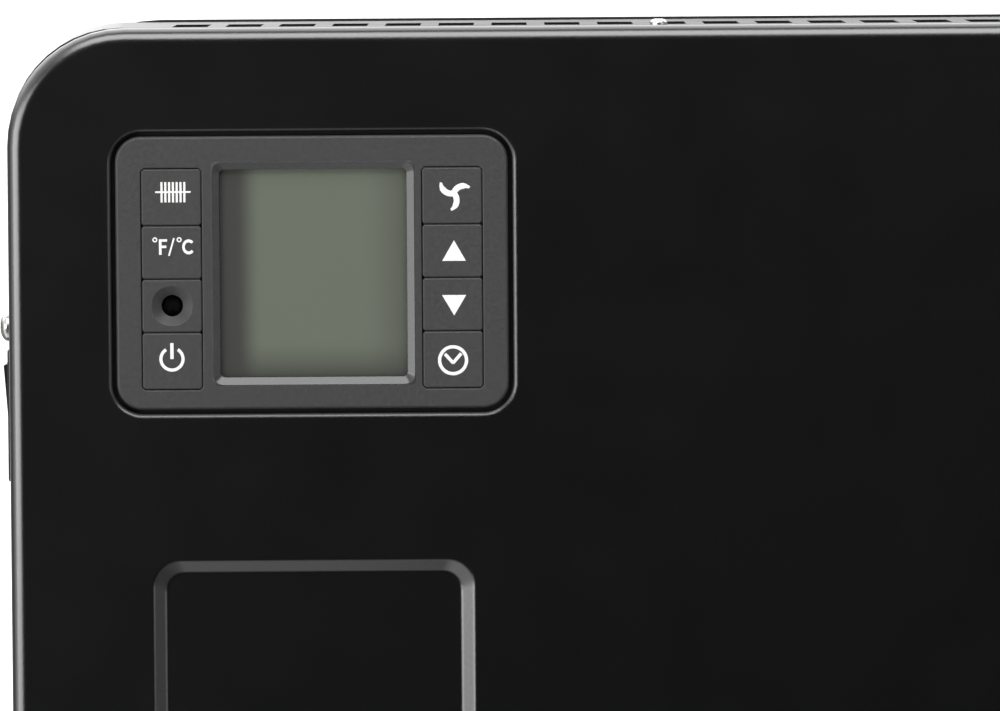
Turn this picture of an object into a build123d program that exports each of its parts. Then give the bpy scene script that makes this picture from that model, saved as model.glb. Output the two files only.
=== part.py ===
from build123d import *
import math
import os

os.makedirs("parts", exist_ok=True)

# A slim electric convector heater. All lengths are in millimetres.
# The origin is on the floor, under the middle of the body: X to the right, -Y to the front, Z up.

# Whole body
body_w = 654.0
body_h = 430.0
body_d = 80.0
foot_h = 38.0
sheet_t = 0.9
back_t = 0.5
fit = 0.1
free_fit = 0.3
overrun = 5.0
small_sides = 6
round_sides = 8
corner_flats = 3
clip_share = 0.586

# Front panel: a pressed tray with a drawn cut-out and a long debossed recess
tray_r = 29.5
edge_r = 3.4
tray_d = 11.0
module_from_side = 76.25
module_from_top = 61.25
cutout_gap = 1.0
cutout_lip = 4.5
cutout_edge_r = 1.3
recess_w = 80.4
recess_from_side = 76.1
recess_from_top = 133.5
recess_from_bottom = 58.0
recess_r = 6.6
recess_floor_r = 4.8
recess_run = 3.1
recess_depth = 2.2
recess_edge_r = 0.8
stud_d = 6.0
stud_x = 54.5
stud_z = 18.0
tab_t = 1.2
tab_w = 12.0
tab_len = 18.5
side_screw_from_end = 75.2
side_screw_depth = 15.0
tray_screw_depth = 7.5

# Casing: a wrapped ring with outlet slots on top and intake slots below
casing_r = 26.0
seam_gap = 0.3
lip_front = 4.0
rear_flange_w = 12.0
slot_w = 8.9
slot_pitch = 13.4
slot_len = 32.0
slot_depth = 13.0
slot_from_side = 41.1

# Back panel
back_flange = 2.6
back_edge_r = 0.8
intake_w = 6.0
intake_len = 44.0
intake_pitch = 22.0
intake_from_bottom = 52.0
back_bulge_margin = 92.0
back_bulge_run = 4.0
back_bulge_r = 18.0
back_bulge_h = 2.4
back_bulge_from_bottom = 120.0
back_bulge_from_top = 60.0

# Fasteners: head diameter, head height, shank diameter, length under the head
side_screw = (7.3, 3.1, 3.9, 9.0)
tray_screw = (5.2, 1.5, 2.8, 6.0)
back_screw = (6.5, 1.9, 3.2, 6.5)
module_screw = (5.5, 1.8, 2.6, 7.0)
board_screw = (4.4, 1.4, 2.1, 6.0)
foot_screw = (9.5, 3.4, 4.8, 17.0)
hole_fit = 0.1
pan_edge_share = 0.45
nut_across = 8.0
nut_h = 3.6

# Feet
foot_len = 240.0
foot_w = 36.0
foot_from_side = 110.0
foot_seat_len = 52.0
foot_end_h = 13.0
foot_end_share = 0.25
foot_arch_len = 150.0
foot_arch_h = 9.0
foot_arch_slope = 12.0
foot_seat_step = 3.0
foot_screw_spacing = 34.0
pad_len = 26.0
pad_w = 24.0
pad_h = 2.5
pad_recess = 1.2
pad_from_end = 19.0

# Control module: bezel, keys, display and boards
bezel_w = 98.3
bezel_h = 68.5
bezel_r = 6.5
bezel_face = 0.4
bezel_t = 2.0
bezel_edge_r = 0.5
skirt_t = 1.6
skirt_end = 11.0
module_flange = 5.0
module_flange_t = 1.8
ear_r = 4.5
window_w = 50.6
window_h = 55.8
window_x = 0.3
window_z = -0.25
window_r = 1.6
rim_run = 1.9
rim_depth = 2.7
rim_wall = 1.0
column_x = 35.15
column_z = -1.55
key_w = 14.85
end_key_h = 14.2
mid_key_h = 13.4
groove = 0.55
key_r = 0.9
key_edge_r = 0.3
key_cap_t = 2.2
key_travel = 0.8
key_tab_w = 5.0
key_tab_out = 0.7
key_tab_t = 1.0
plunger_d = 3.0
plunger_end_gap = 0.2
well_wall = 1.5
switch_h = 3.5
switch_w = 6.0
receiver_mouth_d = 9.5
receiver_bore_d = 5.4
funnel_sides = 20
receiver_d = 4.6
board_t = 1.6
board_gap = 0.4
boss_d = 4.4
boss_x = 45.3
lcd_t = 2.8
lcd_side = 0.9
housing_end = 20.0
housing_t = 1.6

# Side mains switch
switch_from_top = 97.6
switch_depth = 21.0
switch_flange_len = 33.0
switch_flange_w = 18.0
switch_flange_t = 1.0
switch_body_len = 30.6
switch_body_w = 15.6
switch_body_d = 18.0
rocker_len = 26.0
rocker_w = 12.6
rocker_pivot_depth = 4.5
rocker_proud = 1.15
rocker_tilt = 4.4
rocker_root = 6.0
rocker_root_len = 9.0
pivot_d = 2.4
pivot_fit = 0.05
terminal_len = 6.0
terminal_w = 6.3
terminal_t = 0.8

# Dividers, heat shield and elements
divider_t = 0.8
divider_flange = 12.0
left_divider_x = -187.0
right_divider_x = 287.0
divider_end_gap = 14.0
divider_front_depth = 12.6
shield_t = 0.6
shield_from_bottom = 56.0
shield_h = 236.0
element_z = (90.0, 146.0)
element_hub_d = 15.0
element_arm_len = 25.0
element_arm_t = 2.0
element_arms = 6
element_end_gap = 14.0
element_cut_w = 2.2
element_pieces = 3
tube_d = 8.4
tube_out = 24.0
insulator_d = 16.0
insulator_flange_d = 22.0
insulator_t = 5.0
cutout_disc_d = 16.0
cutout_disc_h = 9.0
cutout_plate_len = 30.0
cutout_plate_t = 1.0
cutout_from_bottom = 200.0

# Crossflow fan
fan_x = 20.0
fan_z = 27.5
fan_y = 0.0
rotor_len = 160.0
rotor_d = 37.0
blade_count = 12
blade_inner_share = 0.74
blade_sweep = 18.0
blade_t = 0.9
disc_t = 1.4
shaft_d = 5.0
bearing_d = 11.0
bearing_len = 6.0
bearing_fit = 0.06
scroll_gap = 2.2
scroll_growth = 5.0
scroll_t = 1.0
scroll_arc = (-125.0, 50.0)
tongue_arc = (150.0, 190.0)
scroll_end_gap = 4.0
scroll_bends = 6
tongue_bends = 2
plate_front = 25.0
plate_rear = 29.0
plate_top = 25.0
plate_foot = 9.0
motor_gap = 12.0
motor_len = 18.0
motor_w = 46.0
motor_h = 36.0
motor_leg = 8.0
motor_bore_d = 18.6
magnet_fit = 0.4
coil_wall = 4.0
coil_over = 4.0
post_d = 5.0
post_share = 0.38

# Boards and fittings of the left compartment
power_board_w = 74.0
power_board_h = 110.0
power_board_z = 185.0
spacer_h = 8.0
spacer_d = 6.0
spacer_inset = 6.0
relay_w = 20.0
relay_h = 16.0
relay_d = 16.0
relay_spacing = 30.0
terminal_block_w = 44.0
terminal_block_h = 20.0
terminal_block_d = 18.0
terminal_block_z = 100.0
gland_z = 46.0
gland_bore_d = 8.0
gland_d = 15.0
gland_flange_d = 22.0
gland_flange_t = 3.0
gland_in = 12.0
gland_sides = 16
tip_w = 26.0
tip_d = 18.0
tip_h = 24.0
sensor_d = 5.0
sensor_h = 16.0
sensor_base = 12.0
sensor_base_t = 2.0

# Places that follow from the sizes
front_y = -body_d / 2
rear_y = body_d / 2
side_x = body_w / 2
bottom_z = foot_h
top_z = foot_h + body_h
mid_z = (bottom_z + top_z) / 2
module_x = module_from_side - side_x
module_z = top_z - module_from_top
casing_start = tray_d + seam_gap
casing_end = body_d - back_t - fit
inner_floor_z = bottom_z + sheet_t
foot_x = side_x - foot_from_side
compartment_x = (left_divider_x - side_x) / 2


def front_plane(depth, x=0.0, z=mid_z):
    """Plane parallel to the front face, a depth behind it, looking forwards."""
    return Plane(origin=(x, front_y + depth, z), x_dir=(1, 0, 0), z_dir=(0, -1, 0))


def side_plane(x, depth, z):
    """Plane that looks along +X, with local x to the rear and local y up."""
    return Plane(origin=(x, front_y + depth, z), x_dir=(0, 1, 0), z_dir=(1, 0, 0))


def slab(plane, width, height, radius, depth, mode=Mode.ADD):
    """Rounded rectangle that runs from a plane by a depth against its normal."""
    with BuildSketch(plane) as outline:
        RectangleRounded(width, height, radius)
    extrude(outline.sketch, amount=-depth, mode=mode)


def block(plane, width, height, depth, mode=Mode.ADD):
    """Plain rectangle that runs from a plane by a depth against its normal."""
    with BuildSketch(plane) as outline:
        Rectangle(width, height)
    extrude(outline.sketch, amount=-depth, mode=mode)


def rod(plane, diameter, length, mode=Mode.ADD):
    """Round bar or hole that runs from a plane by a length against its normal."""
    with BuildSketch(plane) as outline:
        Circle(diameter / 2)
    extrude(outline.sketch, amount=-length, mode=mode)


def clipped(plane, width, height, radius, depth, mode=Mode.ADD):
    """Rectangle with one flat across each small corner, run from a plane by a depth."""
    with BuildSketch(plane) as outline:
        Rectangle(width, height)
        chamfer(outline.vertices(), clip_share * radius)
    extrude(outline.sketch, amount=-depth, mode=mode)


def faceted(plane, width, height, radius, depth, mode=Mode.ADD):
    """Rectangle whose corners are made of a few flats, for outlines that stay out of sight."""
    points = []
    for turn, (x, y) in enumerate(((1, 1), (-1, 1), (-1, -1), (1, -1))):
        for i in range(corner_flats + 1):
            along, up = polar(radius, 90 * (turn + i / corner_flats))
            points.append((x * (width / 2 - radius) + along, y * (height / 2 - radius) + up))
    with BuildSketch(plane) as outline:
        Polygon(*points, align=None)
    extrude(outline.sketch, amount=-depth, mode=mode)


def pin(plane, diameter, length, mode=Mode.ADD, sides=small_sides):
    """Small bar or hole with few flats that runs from a plane by a length."""
    with BuildSketch(plane) as outline:
        RegularPolygon(diameter / 2, sides)
    extrude(outline.sketch, amount=-length, mode=mode)


def pressing(width, height, grow, depth, centre_x, centre_z, mode):
    """Drafted block of the recess, all its sides grown alike for the back of the sheet."""
    with BuildSketch(front_plane(0, centre_x, centre_z)) as mouth:
        RectangleRounded(width + 2 * grow, height + 2 * grow, recess_r + grow)
    with BuildSketch(front_plane(depth + grow, centre_x, centre_z)) as floor:
        RectangleRounded(
            width - 2 * recess_run + 2 * grow,
            height - 2 * recess_run + 2 * grow,
            recess_floor_r + grow,
        )
    loft([mouth.sketch, floor.sketch], mode=mode)


def screw(plane, size):
    """Pan-head screw: the head stands on the plane, the shank runs against its normal."""
    head_d, head_h, shank_d, length = size
    builder = BuildPart._get_context()
    pin(plane.offset(head_h), head_d, head_h, sides=round_sides)
    crown = builder.faces(Select.LAST).sort_by(Axis(plane.origin, plane.z_dir))[-1]
    chamfer(crown.edges(), pan_edge_share * head_h)
    pin(plane, shank_d, length)


def polar(radius, degrees):
    """Point of a sketch at a radius and an angle from its local x."""
    return (radius * math.cos(math.radians(degrees)), radius * math.sin(math.radians(degrees)))


def finish(builder, label):
    """Label one finished piece and write its STEP file."""
    builder.part.label = label
    export_step(builder.part, f"parts/{label}.step")


side_screw_places = [
    (hand, z)
    for hand in (-1, 1)
    for z in (bottom_z + side_screw_from_end, top_z - side_screw_from_end)
]
tray_screw_places = [(x, up) for x in (-body_w / 4, body_w / 4) for up in (-1, 1)]
stud_places = [(x, z) for x in (-stud_x, stud_x) for z in (-stud_z, stud_z)]

# Front panel
tray_inset = 2 * sheet_t
recess_h = body_h - recess_from_top - recess_from_bottom
recess_x = recess_from_side - side_x
recess_z = bottom_z + recess_from_bottom + recess_h / 2
cutout_w = bezel_w + 2 * cutout_gap
cutout_h = bezel_h + 2 * cutout_gap
cutout_r = bezel_r + cutout_gap
lip_offset = sheet_t + fit
tab_offset = lip_offset + sheet_t + fit
flange_front = cutout_lip + 0.5 * sheet_t

with BuildPart() as tray_core:
    faceted(
        front_plane(sheet_t),
        body_w - tray_inset,
        body_h - tray_inset,
        tray_r - sheet_t,
        tray_d + overrun,
    )
    chamfer(tray_core.edges().group_by(Axis.Y)[0], clip_share * (edge_r - sheet_t))

with BuildPart() as recess_form:
    pressing(recess_w, recess_h, 0, recess_depth, recess_x, recess_z, Mode.ADD)
    fillet(recess_form.edges().group_by(Axis.Y)[-1], recess_edge_r)

with BuildPart() as front_panel:
    slab(front_plane(0), body_w, body_h, tray_r, tray_d)
    fillet(front_panel.edges().group_by(Axis.Y)[0], edge_r)
    add(tray_core.part, mode=Mode.SUBTRACT)
    pressing(recess_w, recess_h, sheet_t, recess_depth, recess_x, recess_z, Mode.ADD)
    add(recess_form.part, mode=Mode.SUBTRACT)
    recess_mouth = front_panel.faces().sort_by(Axis.Y)[0].inner_wires()
    fillet(recess_mouth.edges(), recess_edge_r)
    faceted(
        front_plane(0, module_x, module_z),
        cutout_w + 2 * sheet_t,
        cutout_h + 2 * sheet_t,
        cutout_r + sheet_t,
        cutout_lip,
    )
    slab(
        front_plane(0, module_x, module_z),
        cutout_w,
        cutout_h,
        cutout_r,
        cutout_lip + overrun,
        mode=Mode.SUBTRACT,
    )
    cutout_mouth = front_panel.faces().sort_by(Axis.Y)[0].inner_wires()
    chamfer(cutout_mouth.edges().sort_by(Axis.Z)[-8:], clip_share * cutout_edge_r)
    for x, z in stud_places:
        pin(front_plane(sheet_t, module_x + x, module_z + z), stud_d, flange_front - sheet_t)
        pin(
            front_plane(sheet_t, module_x + x, module_z + z),
            module_screw[2] + 2 * hole_fit,
            tray_d,
            mode=Mode.SUBTRACT,
        )
    for hand, z in side_screw_places:
        tab_x = hand * (side_x - tab_offset - tab_t / 2)
        block(front_plane(sheet_t, tab_x, z), tab_t, tab_w, tab_len - sheet_t)
        pin(
            side_plane(tab_x + tab_t, side_screw_depth, z),
            side_screw[2] + 2 * hole_fit,
            2 * tab_t,
            mode=Mode.SUBTRACT,
        )
    for x, up in tray_screw_places:
        hole_top = mid_z + up * body_h / 2 + 2 * sheet_t
        pin(
            Plane(origin=(x, front_y + tray_screw_depth, hole_top)),
            tray_screw[2] + 2 * hole_fit,
            4 * sheet_t,
            mode=Mode.SUBTRACT,
        )
finish(front_panel, "front_panel")

# Casing ring
slot_count = 1 + round((body_w - 2 * slot_from_side - slot_w) / slot_pitch)
slot_y = front_y + slot_depth + slot_len / 2
foot_land = foot_w / 2 + slot_w
bottom_slot_xs = [
    slot_pitch * (i - (slot_count - 1) / 2)
    for i in range(slot_count)
    if abs(abs(slot_pitch * (i - (slot_count - 1) / 2)) - foot_x) > foot_land
]
foot_screw_places = [
    (hand * foot_x, y) for hand in (-1, 1) for y in (-foot_screw_spacing / 2, foot_screw_spacing / 2)
]
rear_screw_inset = rear_flange_w / 2
rear_screw_places = [
    (x, up * (body_h / 2 - rear_screw_inset))
    for x in (-body_w / 2 + 3 * casing_r, body_w / 2 - 3 * casing_r)
    for up in (-1, 1)
] + [(hand * (side_x - rear_screw_inset), 0) for hand in (-1, 1)]

with BuildPart() as casing:
    slab(front_plane(casing_start), body_w, body_h, casing_r, casing_end - casing_start)
    faceted(
        front_plane(lip_front),
        body_w - 2 * lip_offset,
        body_h - 2 * lip_offset,
        tray_r - lip_offset,
        casing_start - lip_front,
    )
    faceted(
        front_plane(lip_front - overrun),
        body_w - 2 * (lip_offset + sheet_t),
        body_h - 2 * (lip_offset + sheet_t),
        tray_r - lip_offset - sheet_t,
        casing_start + sheet_t - lip_front + 2 * overrun,
        mode=Mode.SUBTRACT,
    )
    faceted(
        front_plane(casing_start + sheet_t),
        body_w - 2 * sheet_t,
        body_h - 2 * sheet_t,
        casing_r - sheet_t,
        casing_end - casing_start - 2 * sheet_t,
        mode=Mode.SUBTRACT,
    )
    faceted(
        front_plane(casing_end - overrun),
        body_w - 2 * rear_flange_w,
        body_h - 2 * rear_flange_w,
        casing_r - rear_flange_w,
        2 * overrun,
        mode=Mode.SUBTRACT,
    )
    with BuildSketch(Plane.XY.offset(top_z - 2 * sheet_t)) as outlet:
        with Locations((0, slot_y)):
            with GridLocations(slot_pitch, 0, slot_count, 1):
                Rectangle(slot_w, slot_len)
    extrude(outlet.sketch, amount=4 * sheet_t, mode=Mode.SUBTRACT)
    with BuildSketch(Plane.XY.offset(bottom_z - sheet_t)) as inlet:
        with Locations([(x, slot_y) for x in bottom_slot_xs]):
            Rectangle(slot_w, slot_len)
    extrude(inlet.sketch, amount=3 * sheet_t, mode=Mode.SUBTRACT)
    for x, up in tray_screw_places:
        hole_top = mid_z + up * body_h / 2 + 4 * sheet_t
        pin(
            Plane(origin=(x, front_y + tray_screw_depth, hole_top)),
            tray_screw[2] + 2 * hole_fit,
            8 * sheet_t,
            mode=Mode.SUBTRACT,
        )
    for hand, z in side_screw_places:
        pin(
            side_plane(hand * side_x + sheet_t, side_screw_depth, z),
            side_screw[2] + 2 * hole_fit,
            2 * sheet_t + sheet_t,
            mode=Mode.SUBTRACT,
        )
    for x, y in foot_screw_places:
        pin(
            Plane(origin=(x, y, inner_floor_z + sheet_t)),
            foot_screw[2] + 2 * hole_fit,
            3 * sheet_t,
            mode=Mode.SUBTRACT,
        )
    for x, z in rear_screw_places:
        pin(
            front_plane(casing_end - 2 * sheet_t, x, mid_z + z),
            back_screw[2] + 2 * hole_fit,
            4 * sheet_t,
            mode=Mode.SUBTRACT,
        )
    block(
        side_plane(sheet_t - side_x + overrun, switch_depth, top_z - switch_from_top),
        switch_body_w + 2 * fit,
        switch_body_len + 2 * fit,
        2 * overrun,
        mode=Mode.SUBTRACT,
    )
finish(casing, "casing")

# Back panel
back_w = body_w + 2 * (fit + back_t)
back_h = body_h + 2 * (fit + back_t)
back_r = casing_r + fit + back_t
gland_x = compartment_x
gland_pos_z = bottom_z + gland_z
intake_span = right_divider_x - left_divider_x - 2 * divider_flange - intake_pitch
intake_count = 1 + int(intake_span / intake_pitch)
intake_x = (left_divider_x + right_divider_x) / 2
bulge_w = body_w - 2 * back_bulge_margin
bulge_h = body_h - back_bulge_from_bottom - back_bulge_from_top
bulge_z = bottom_z + back_bulge_from_bottom + bulge_h / 2


def bulge(grow, mode):
    """Shallow stiffening panel pressed out of the back, grown for the two faces of the sheet."""
    with BuildSketch(front_plane(body_d - back_t, 0, bulge_z)) as foot:
        RectangleRounded(bulge_w + 2 * grow, bulge_h + 2 * grow, back_bulge_r + grow)
    with BuildSketch(front_plane(body_d + back_bulge_h - back_t + grow, 0, bulge_z)) as crown:
        RectangleRounded(
            bulge_w - 2 * back_bulge_run + 2 * grow,
            bulge_h - 2 * back_bulge_run + 2 * grow,
            back_bulge_r - back_bulge_run + grow,
        )
    loft([foot.sketch, crown.sketch], mode=mode)


with BuildPart() as back_core:
    slab(
        front_plane(body_d - back_flange - overrun),
        back_w - 2 * back_t,
        back_h - 2 * back_t,
        back_r - back_t,
        back_flange + overrun - back_t,
    )

with BuildPart() as back_panel:
    slab(front_plane(body_d - back_flange), back_w, back_h, back_r, back_flange)
    chamfer(back_panel.edges().group_by(Axis.Y)[-1], clip_share * back_edge_r)
    bulge(back_t, Mode.ADD)
    add(back_core.part, mode=Mode.SUBTRACT)
    bulge(0, Mode.SUBTRACT)
    with BuildSketch(
        front_plane(body_d + overrun, intake_x, bottom_z + intake_from_bottom)
    ) as intake:
        with GridLocations(intake_pitch, 0, intake_count, 1):
            Rectangle(intake_w, intake_len)
    extrude(intake.sketch, amount=2 * overrun, mode=Mode.SUBTRACT)
    for x, z in rear_screw_places:
        pin(
            front_plane(body_d - 2 * back_t, x, mid_z + z),
            back_screw[2] + 2 * hole_fit,
            4 * back_t,
            mode=Mode.SUBTRACT,
        )
    pin(
        front_plane(body_d - 2 * back_t, gland_x, gland_pos_z),
        gland_d + 2 * fit,
        4 * back_t,
        mode=Mode.SUBTRACT,
        sides=gland_sides,
    )
finish(back_panel, "back_panel")

# Fasteners of the shells
with BuildPart() as side_screws:
    for hand, z in side_screw_places:
        place = Plane(
            origin=(hand * side_x, front_y + side_screw_depth, z),
            x_dir=(0, 1, 0),
            z_dir=(hand, 0, 0),
        )
        screw(place, side_screw)
finish(side_screws, "side_screws")

with BuildPart() as clip_nuts:
    nut_t = tab_offset - sheet_t - fit
    nut_len = 2 * (side_screw_depth - casing_start - sheet_t - fit)
    for hand, z in side_screw_places:
        place = Plane(
            origin=(hand * (side_x - sheet_t - fit / 2), front_y + side_screw_depth, z),
            x_dir=(0, 1, 0),
            z_dir=(hand, 0, 0),
        )
        block(place, nut_len, tab_w, nut_t)
        pin(place, side_screw[2] + 2 * hole_fit, nut_t, mode=Mode.SUBTRACT)
finish(clip_nuts, "clip_nuts")

with BuildPart() as tray_screws:
    for x, up in tray_screw_places:
        place = Plane(
            origin=(x, front_y + tray_screw_depth, mid_z + up * body_h / 2),
            x_dir=(1, 0, 0),
            z_dir=(0, 0, up),
        )
        screw(place, tray_screw)
finish(tray_screws, "tray_screws")

with BuildPart() as back_screws:
    for x, z in rear_screw_places:
        place = Plane(
            origin=(x, rear_y, mid_z + z),
            x_dir=(-1, 0, 0),
            z_dir=(0, 1, 0),
        )
        screw(place, back_screw)
finish(back_screws, "back_screws")

# Feet
pad_y = foot_len / 2 - pad_from_end


def moulded_foot(centre_x):
    """Moulded foot: a seat under the casing, sloping arms, rounded ends and a flat arch."""
    end_out = foot_end_h * foot_end_share
    half = foot_len / 2 - end_out
    seat = foot_seat_len / 2
    base = pad_h - pad_recess
    arm_top = foot_h - foot_seat_step
    end_mid = (half + end_out, base + foot_end_h / 2)
    end_top = (half - end_out, base + foot_end_h)
    arch = foot_arch_len / 2
    arch_top = base + foot_arch_h
    outer_face = Plane(
        origin=(centre_x + foot_w / 2, 0, 0),
        x_dir=(0, 1, 0),
        z_dir=(1, 0, 0),
    )
    with BuildSketch(outer_face) as side:
        with BuildLine():
            Polyline(
                (-half, base),
                (-arch, base),
                (foot_arch_slope - arch, arch_top),
                (arch - foot_arch_slope, arch_top),
                (arch, base),
                (half, base),
            )
            ThreePointArc((half, base), end_mid, end_top)
            Polyline(
                end_top,
                (seat, arm_top),
                (seat, foot_h),
                (-seat, foot_h),
                (-seat, arm_top),
                (-end_top[0], end_top[1]),
            )
            ThreePointArc((-end_top[0], end_top[1]), (-end_mid[0], end_mid[1]), (-half, base))
        make_face()
    extrude(side.sketch, amount=-foot_w)


def pad_plane(centre_x, y, z):
    """Plane on a foot's underside that looks down."""
    return Plane(origin=(centre_x, y, z), x_dir=(1, 0, 0), z_dir=(0, 0, -1))


for hand, foot_name in ((-1, "left_foot"), (1, "right_foot")):
    with BuildPart() as foot:
        moulded_foot(hand * foot_x)
        for y in (-pad_y, pad_y):
            block(
                pad_plane(hand * foot_x, y, 0),
                pad_w + 2 * fit,
                pad_len + 2 * fit,
                pad_h + fit,
                mode=Mode.SUBTRACT,
            )
        for x, y in foot_screw_places:
            if x * hand > 0:
                pin(
                    pad_plane(x, y, 0),
                    foot_screw[2] + 2 * hole_fit,
                    foot_h + overrun,
                    mode=Mode.SUBTRACT,
                )
                pin(
                    pad_plane(x, y, 0),
                    foot_screw[0] + 2 * free_fit,
                    foot_h - foot_screw[3] + foot_screw[1],
                    mode=Mode.SUBTRACT,
                )
    finish(foot, foot_name)

with BuildPart() as foot_pads:
    for hand in (-1, 1):
        for y in (-pad_y, pad_y):
            block(pad_plane(hand * foot_x, y, 0), pad_w, pad_len, pad_h)
finish(foot_pads, "foot_pads")

with BuildPart() as foot_screws:
    for x, y in foot_screw_places:
        head_z = foot_h - foot_screw[3] + foot_screw[1]
        pin(pad_plane(x, y, head_z), foot_screw[2], foot_screw[3] + sheet_t + nut_h - foot_screw[1])
        pin(pad_plane(x, y, head_z - foot_screw[1]), foot_screw[0], foot_screw[1])
finish(foot_screws, "foot_screws")

with BuildPart() as foot_nuts:
    for x, y in foot_screw_places:
        with BuildSketch(Plane(origin=(x, y, inner_floor_z))) as nut:
            RegularPolygon(nut_across / 2, 6, major_radius=False)
            RegularPolygon(foot_screw[2] / 2 + hole_fit, small_sides, mode=Mode.SUBTRACT)
        extrude(nut.sketch, amount=nut_h)
finish(foot_nuts, "foot_nuts")

# Control bezel
bezel_back = bezel_face + bezel_t
column_h = 2 * end_key_h + 2 * mid_key_h
inner_w = bezel_w - 2 * skirt_t
inner_h = bezel_h - 2 * skirt_t
inner_r = bezel_r - skirt_t
lcd_front = bezel_face + rim_depth
board_front = lcd_front + lcd_t + switch_h
switch_front = board_front - switch_h
key_heights = (end_key_h, mid_key_h, mid_key_h, end_key_h)
key_tops = [column_h / 2 - sum(key_heights[:row]) for row in range(len(key_heights))]
key_zs = [top - height / 2 for top, height in zip(key_tops, key_heights)]
boss_zs = (column_z + column_h / 2 - end_key_h, column_z - column_h / 2 + end_key_h)
boss_places = [(x, z) for x in (-boss_x, boss_x) for z in boss_zs]


def module_plane(depth, x=0.0, z=0.0):
    """Plane of the control module, placed from the middle of its bezel."""
    return front_plane(depth, module_x + x, module_z + z)


with BuildPart() as control_bezel:
    slab(module_plane(bezel_face), bezel_w, bezel_h, bezel_r, skirt_end - bezel_face)
    chamfer(control_bezel.edges().group_by(Axis.Y)[0], bezel_edge_r)
    faceted(
        module_plane(flange_front),
        bezel_w + 2 * module_flange,
        bezel_h + 2 * module_flange,
        bezel_r + module_flange,
        module_flange_t,
    )
    for x, z in stud_places:
        pin(module_plane(flange_front, x, z), 2 * ear_r, module_flange_t)
        pin(
            module_plane(flange_front - overrun, x, z),
            module_screw[2] + 2 * hole_fit,
            2 * overrun + module_flange_t,
            mode=Mode.SUBTRACT,
        )
    faceted(module_plane(bezel_back), inner_w, inner_h, inner_r, skirt_end, mode=Mode.SUBTRACT)
    block(
        module_plane(bezel_back, window_x, window_z),
        window_w + 2 * rim_wall,
        window_h + 2 * rim_wall,
        lcd_front - bezel_back,
    )
    for x, z in boss_places:
        pin(module_plane(bezel_back, x, z), boss_d, board_front - bezel_back)
    with BuildSketch(module_plane(bezel_face - bezel_edge_r, window_x, window_z)) as rim_mouth:
        flare = bezel_edge_r * rim_run / rim_depth
        RectangleRounded(window_w + 2 * flare, window_h + 2 * flare, window_r)
    with BuildSketch(module_plane(lcd_front, window_x, window_z)) as rim_floor:
        RectangleRounded(window_w - 2 * rim_run, window_h - 2 * rim_run, window_r)
    loft([rim_mouth.sketch, rim_floor.sketch], mode=Mode.SUBTRACT)
    for hand in (-1, 1):
        clipped(
            module_plane(bezel_face - overrun, hand * column_x, column_z),
            key_w + groove,
            column_h + groove,
            key_r + groove,
            2 * overrun,
            mode=Mode.SUBTRACT,
        )
    for x, z in boss_places:
        pin(
            module_plane(bezel_back, x, z),
            board_screw[2] + 2 * hole_fit,
            skirt_end,
            mode=Mode.SUBTRACT,
        )
finish(control_bezel, "control_bezel")

# Keys
tab_front = bezel_back + fit
well_d = plunger_d + 2 * free_fit
plunger_end = switch_front + switch_h - well_wall - key_travel - plunger_end_gap


def key_cap(hand, row):
    """Flat key cap with two retaining tabs behind the bezel's edges."""
    height = key_heights[row] - groove
    centre = (hand * column_x, column_z + key_zs[row])
    clipped(module_plane(bezel_face, *centre), key_w - groove, height, key_r, key_cap_t)
    chamfer(front_edges(), key_edge_r)
    block(
        module_plane(tab_front, *centre),
        key_w + groove + 2 * key_tab_out,
        key_tab_w,
        key_tab_t,
    )
    return centre


def front_edges():
    """Edges of the foremost face of the piece under construction."""
    return BuildPart._get_context().edges().group_by(Axis.Y)[0]


key_places = {
    "key_heat": (-1, 0),
    "key_units": (-1, 1),
    "key_power": (-1, 3),
    "key_fan": (1, 0),
    "key_up": (1, 1),
    "key_down": (1, 2),
    "key_timer": (1, 3),
}
for key_name, (hand, row) in key_places.items():
    with BuildPart() as key:
        centre = key_cap(hand, row)
        pin(module_plane(tab_front, *centre), plunger_d, plunger_end - tab_front)
    finish(key, key_name)

receiver_row = 2
receiver_x = -column_x
receiver_pos_z = column_z + key_zs[receiver_row]
with BuildPart() as receiver_insert:
    key_cap(-1, receiver_row)
    pin(
        module_plane(bezel_face, receiver_x, receiver_pos_z),
        receiver_bore_d,
        2 * overrun,
        mode=Mode.SUBTRACT,
        sides=funnel_sides,
    )
    bore_mouth = receiver_insert.faces().sort_by(Axis.Y)[0].inner_wires()
    chamfer(bore_mouth.edges(), (receiver_mouth_d - receiver_bore_d) / 2)
finish(receiver_insert, "receiver_insert")

with BuildPart() as ir_receiver:
    receiver_front = bezel_face + key_cap_t
    pin(
        module_plane(receiver_front, receiver_x, receiver_pos_z),
        receiver_d,
        board_front - receiver_front,
        sides=round_sides,
    )
    chamfer(ir_receiver.edges().group_by(Axis.Y)[0], receiver_d / 4)
    block(
        module_plane(switch_front, receiver_x, receiver_pos_z),
        switch_w,
        switch_w,
        switch_h,
    )
finish(ir_receiver, "ir_receiver")

with BuildPart() as tact_switches:
    for hand, row in key_places.values():
        centre = (hand * column_x, column_z + key_zs[row])
        block(module_plane(switch_front, *centre), switch_w, switch_w, switch_h)
        pin(
            module_plane(switch_front, *centre),
            well_d,
            switch_h - well_wall,
            mode=Mode.SUBTRACT,
        )
finish(tact_switches, "tact_switches")

# Display and control board
lcd_w = window_w - 2 * rim_run + 2 * rim_wall + 2 * lcd_side
lcd_h = window_h - 2 * rim_run + 2 * rim_wall + 2 * lcd_side
with BuildPart() as lcd_glass:
    block(module_plane(lcd_front, window_x, window_z), lcd_w, lcd_h, lcd_t)
finish(lcd_glass, "lcd_glass")

with BuildPart() as lcd_frame:
    block(module_plane(lcd_front + lcd_t, window_x, window_z), lcd_w, lcd_h, switch_h)
finish(lcd_frame, "lcd_frame")

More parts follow.
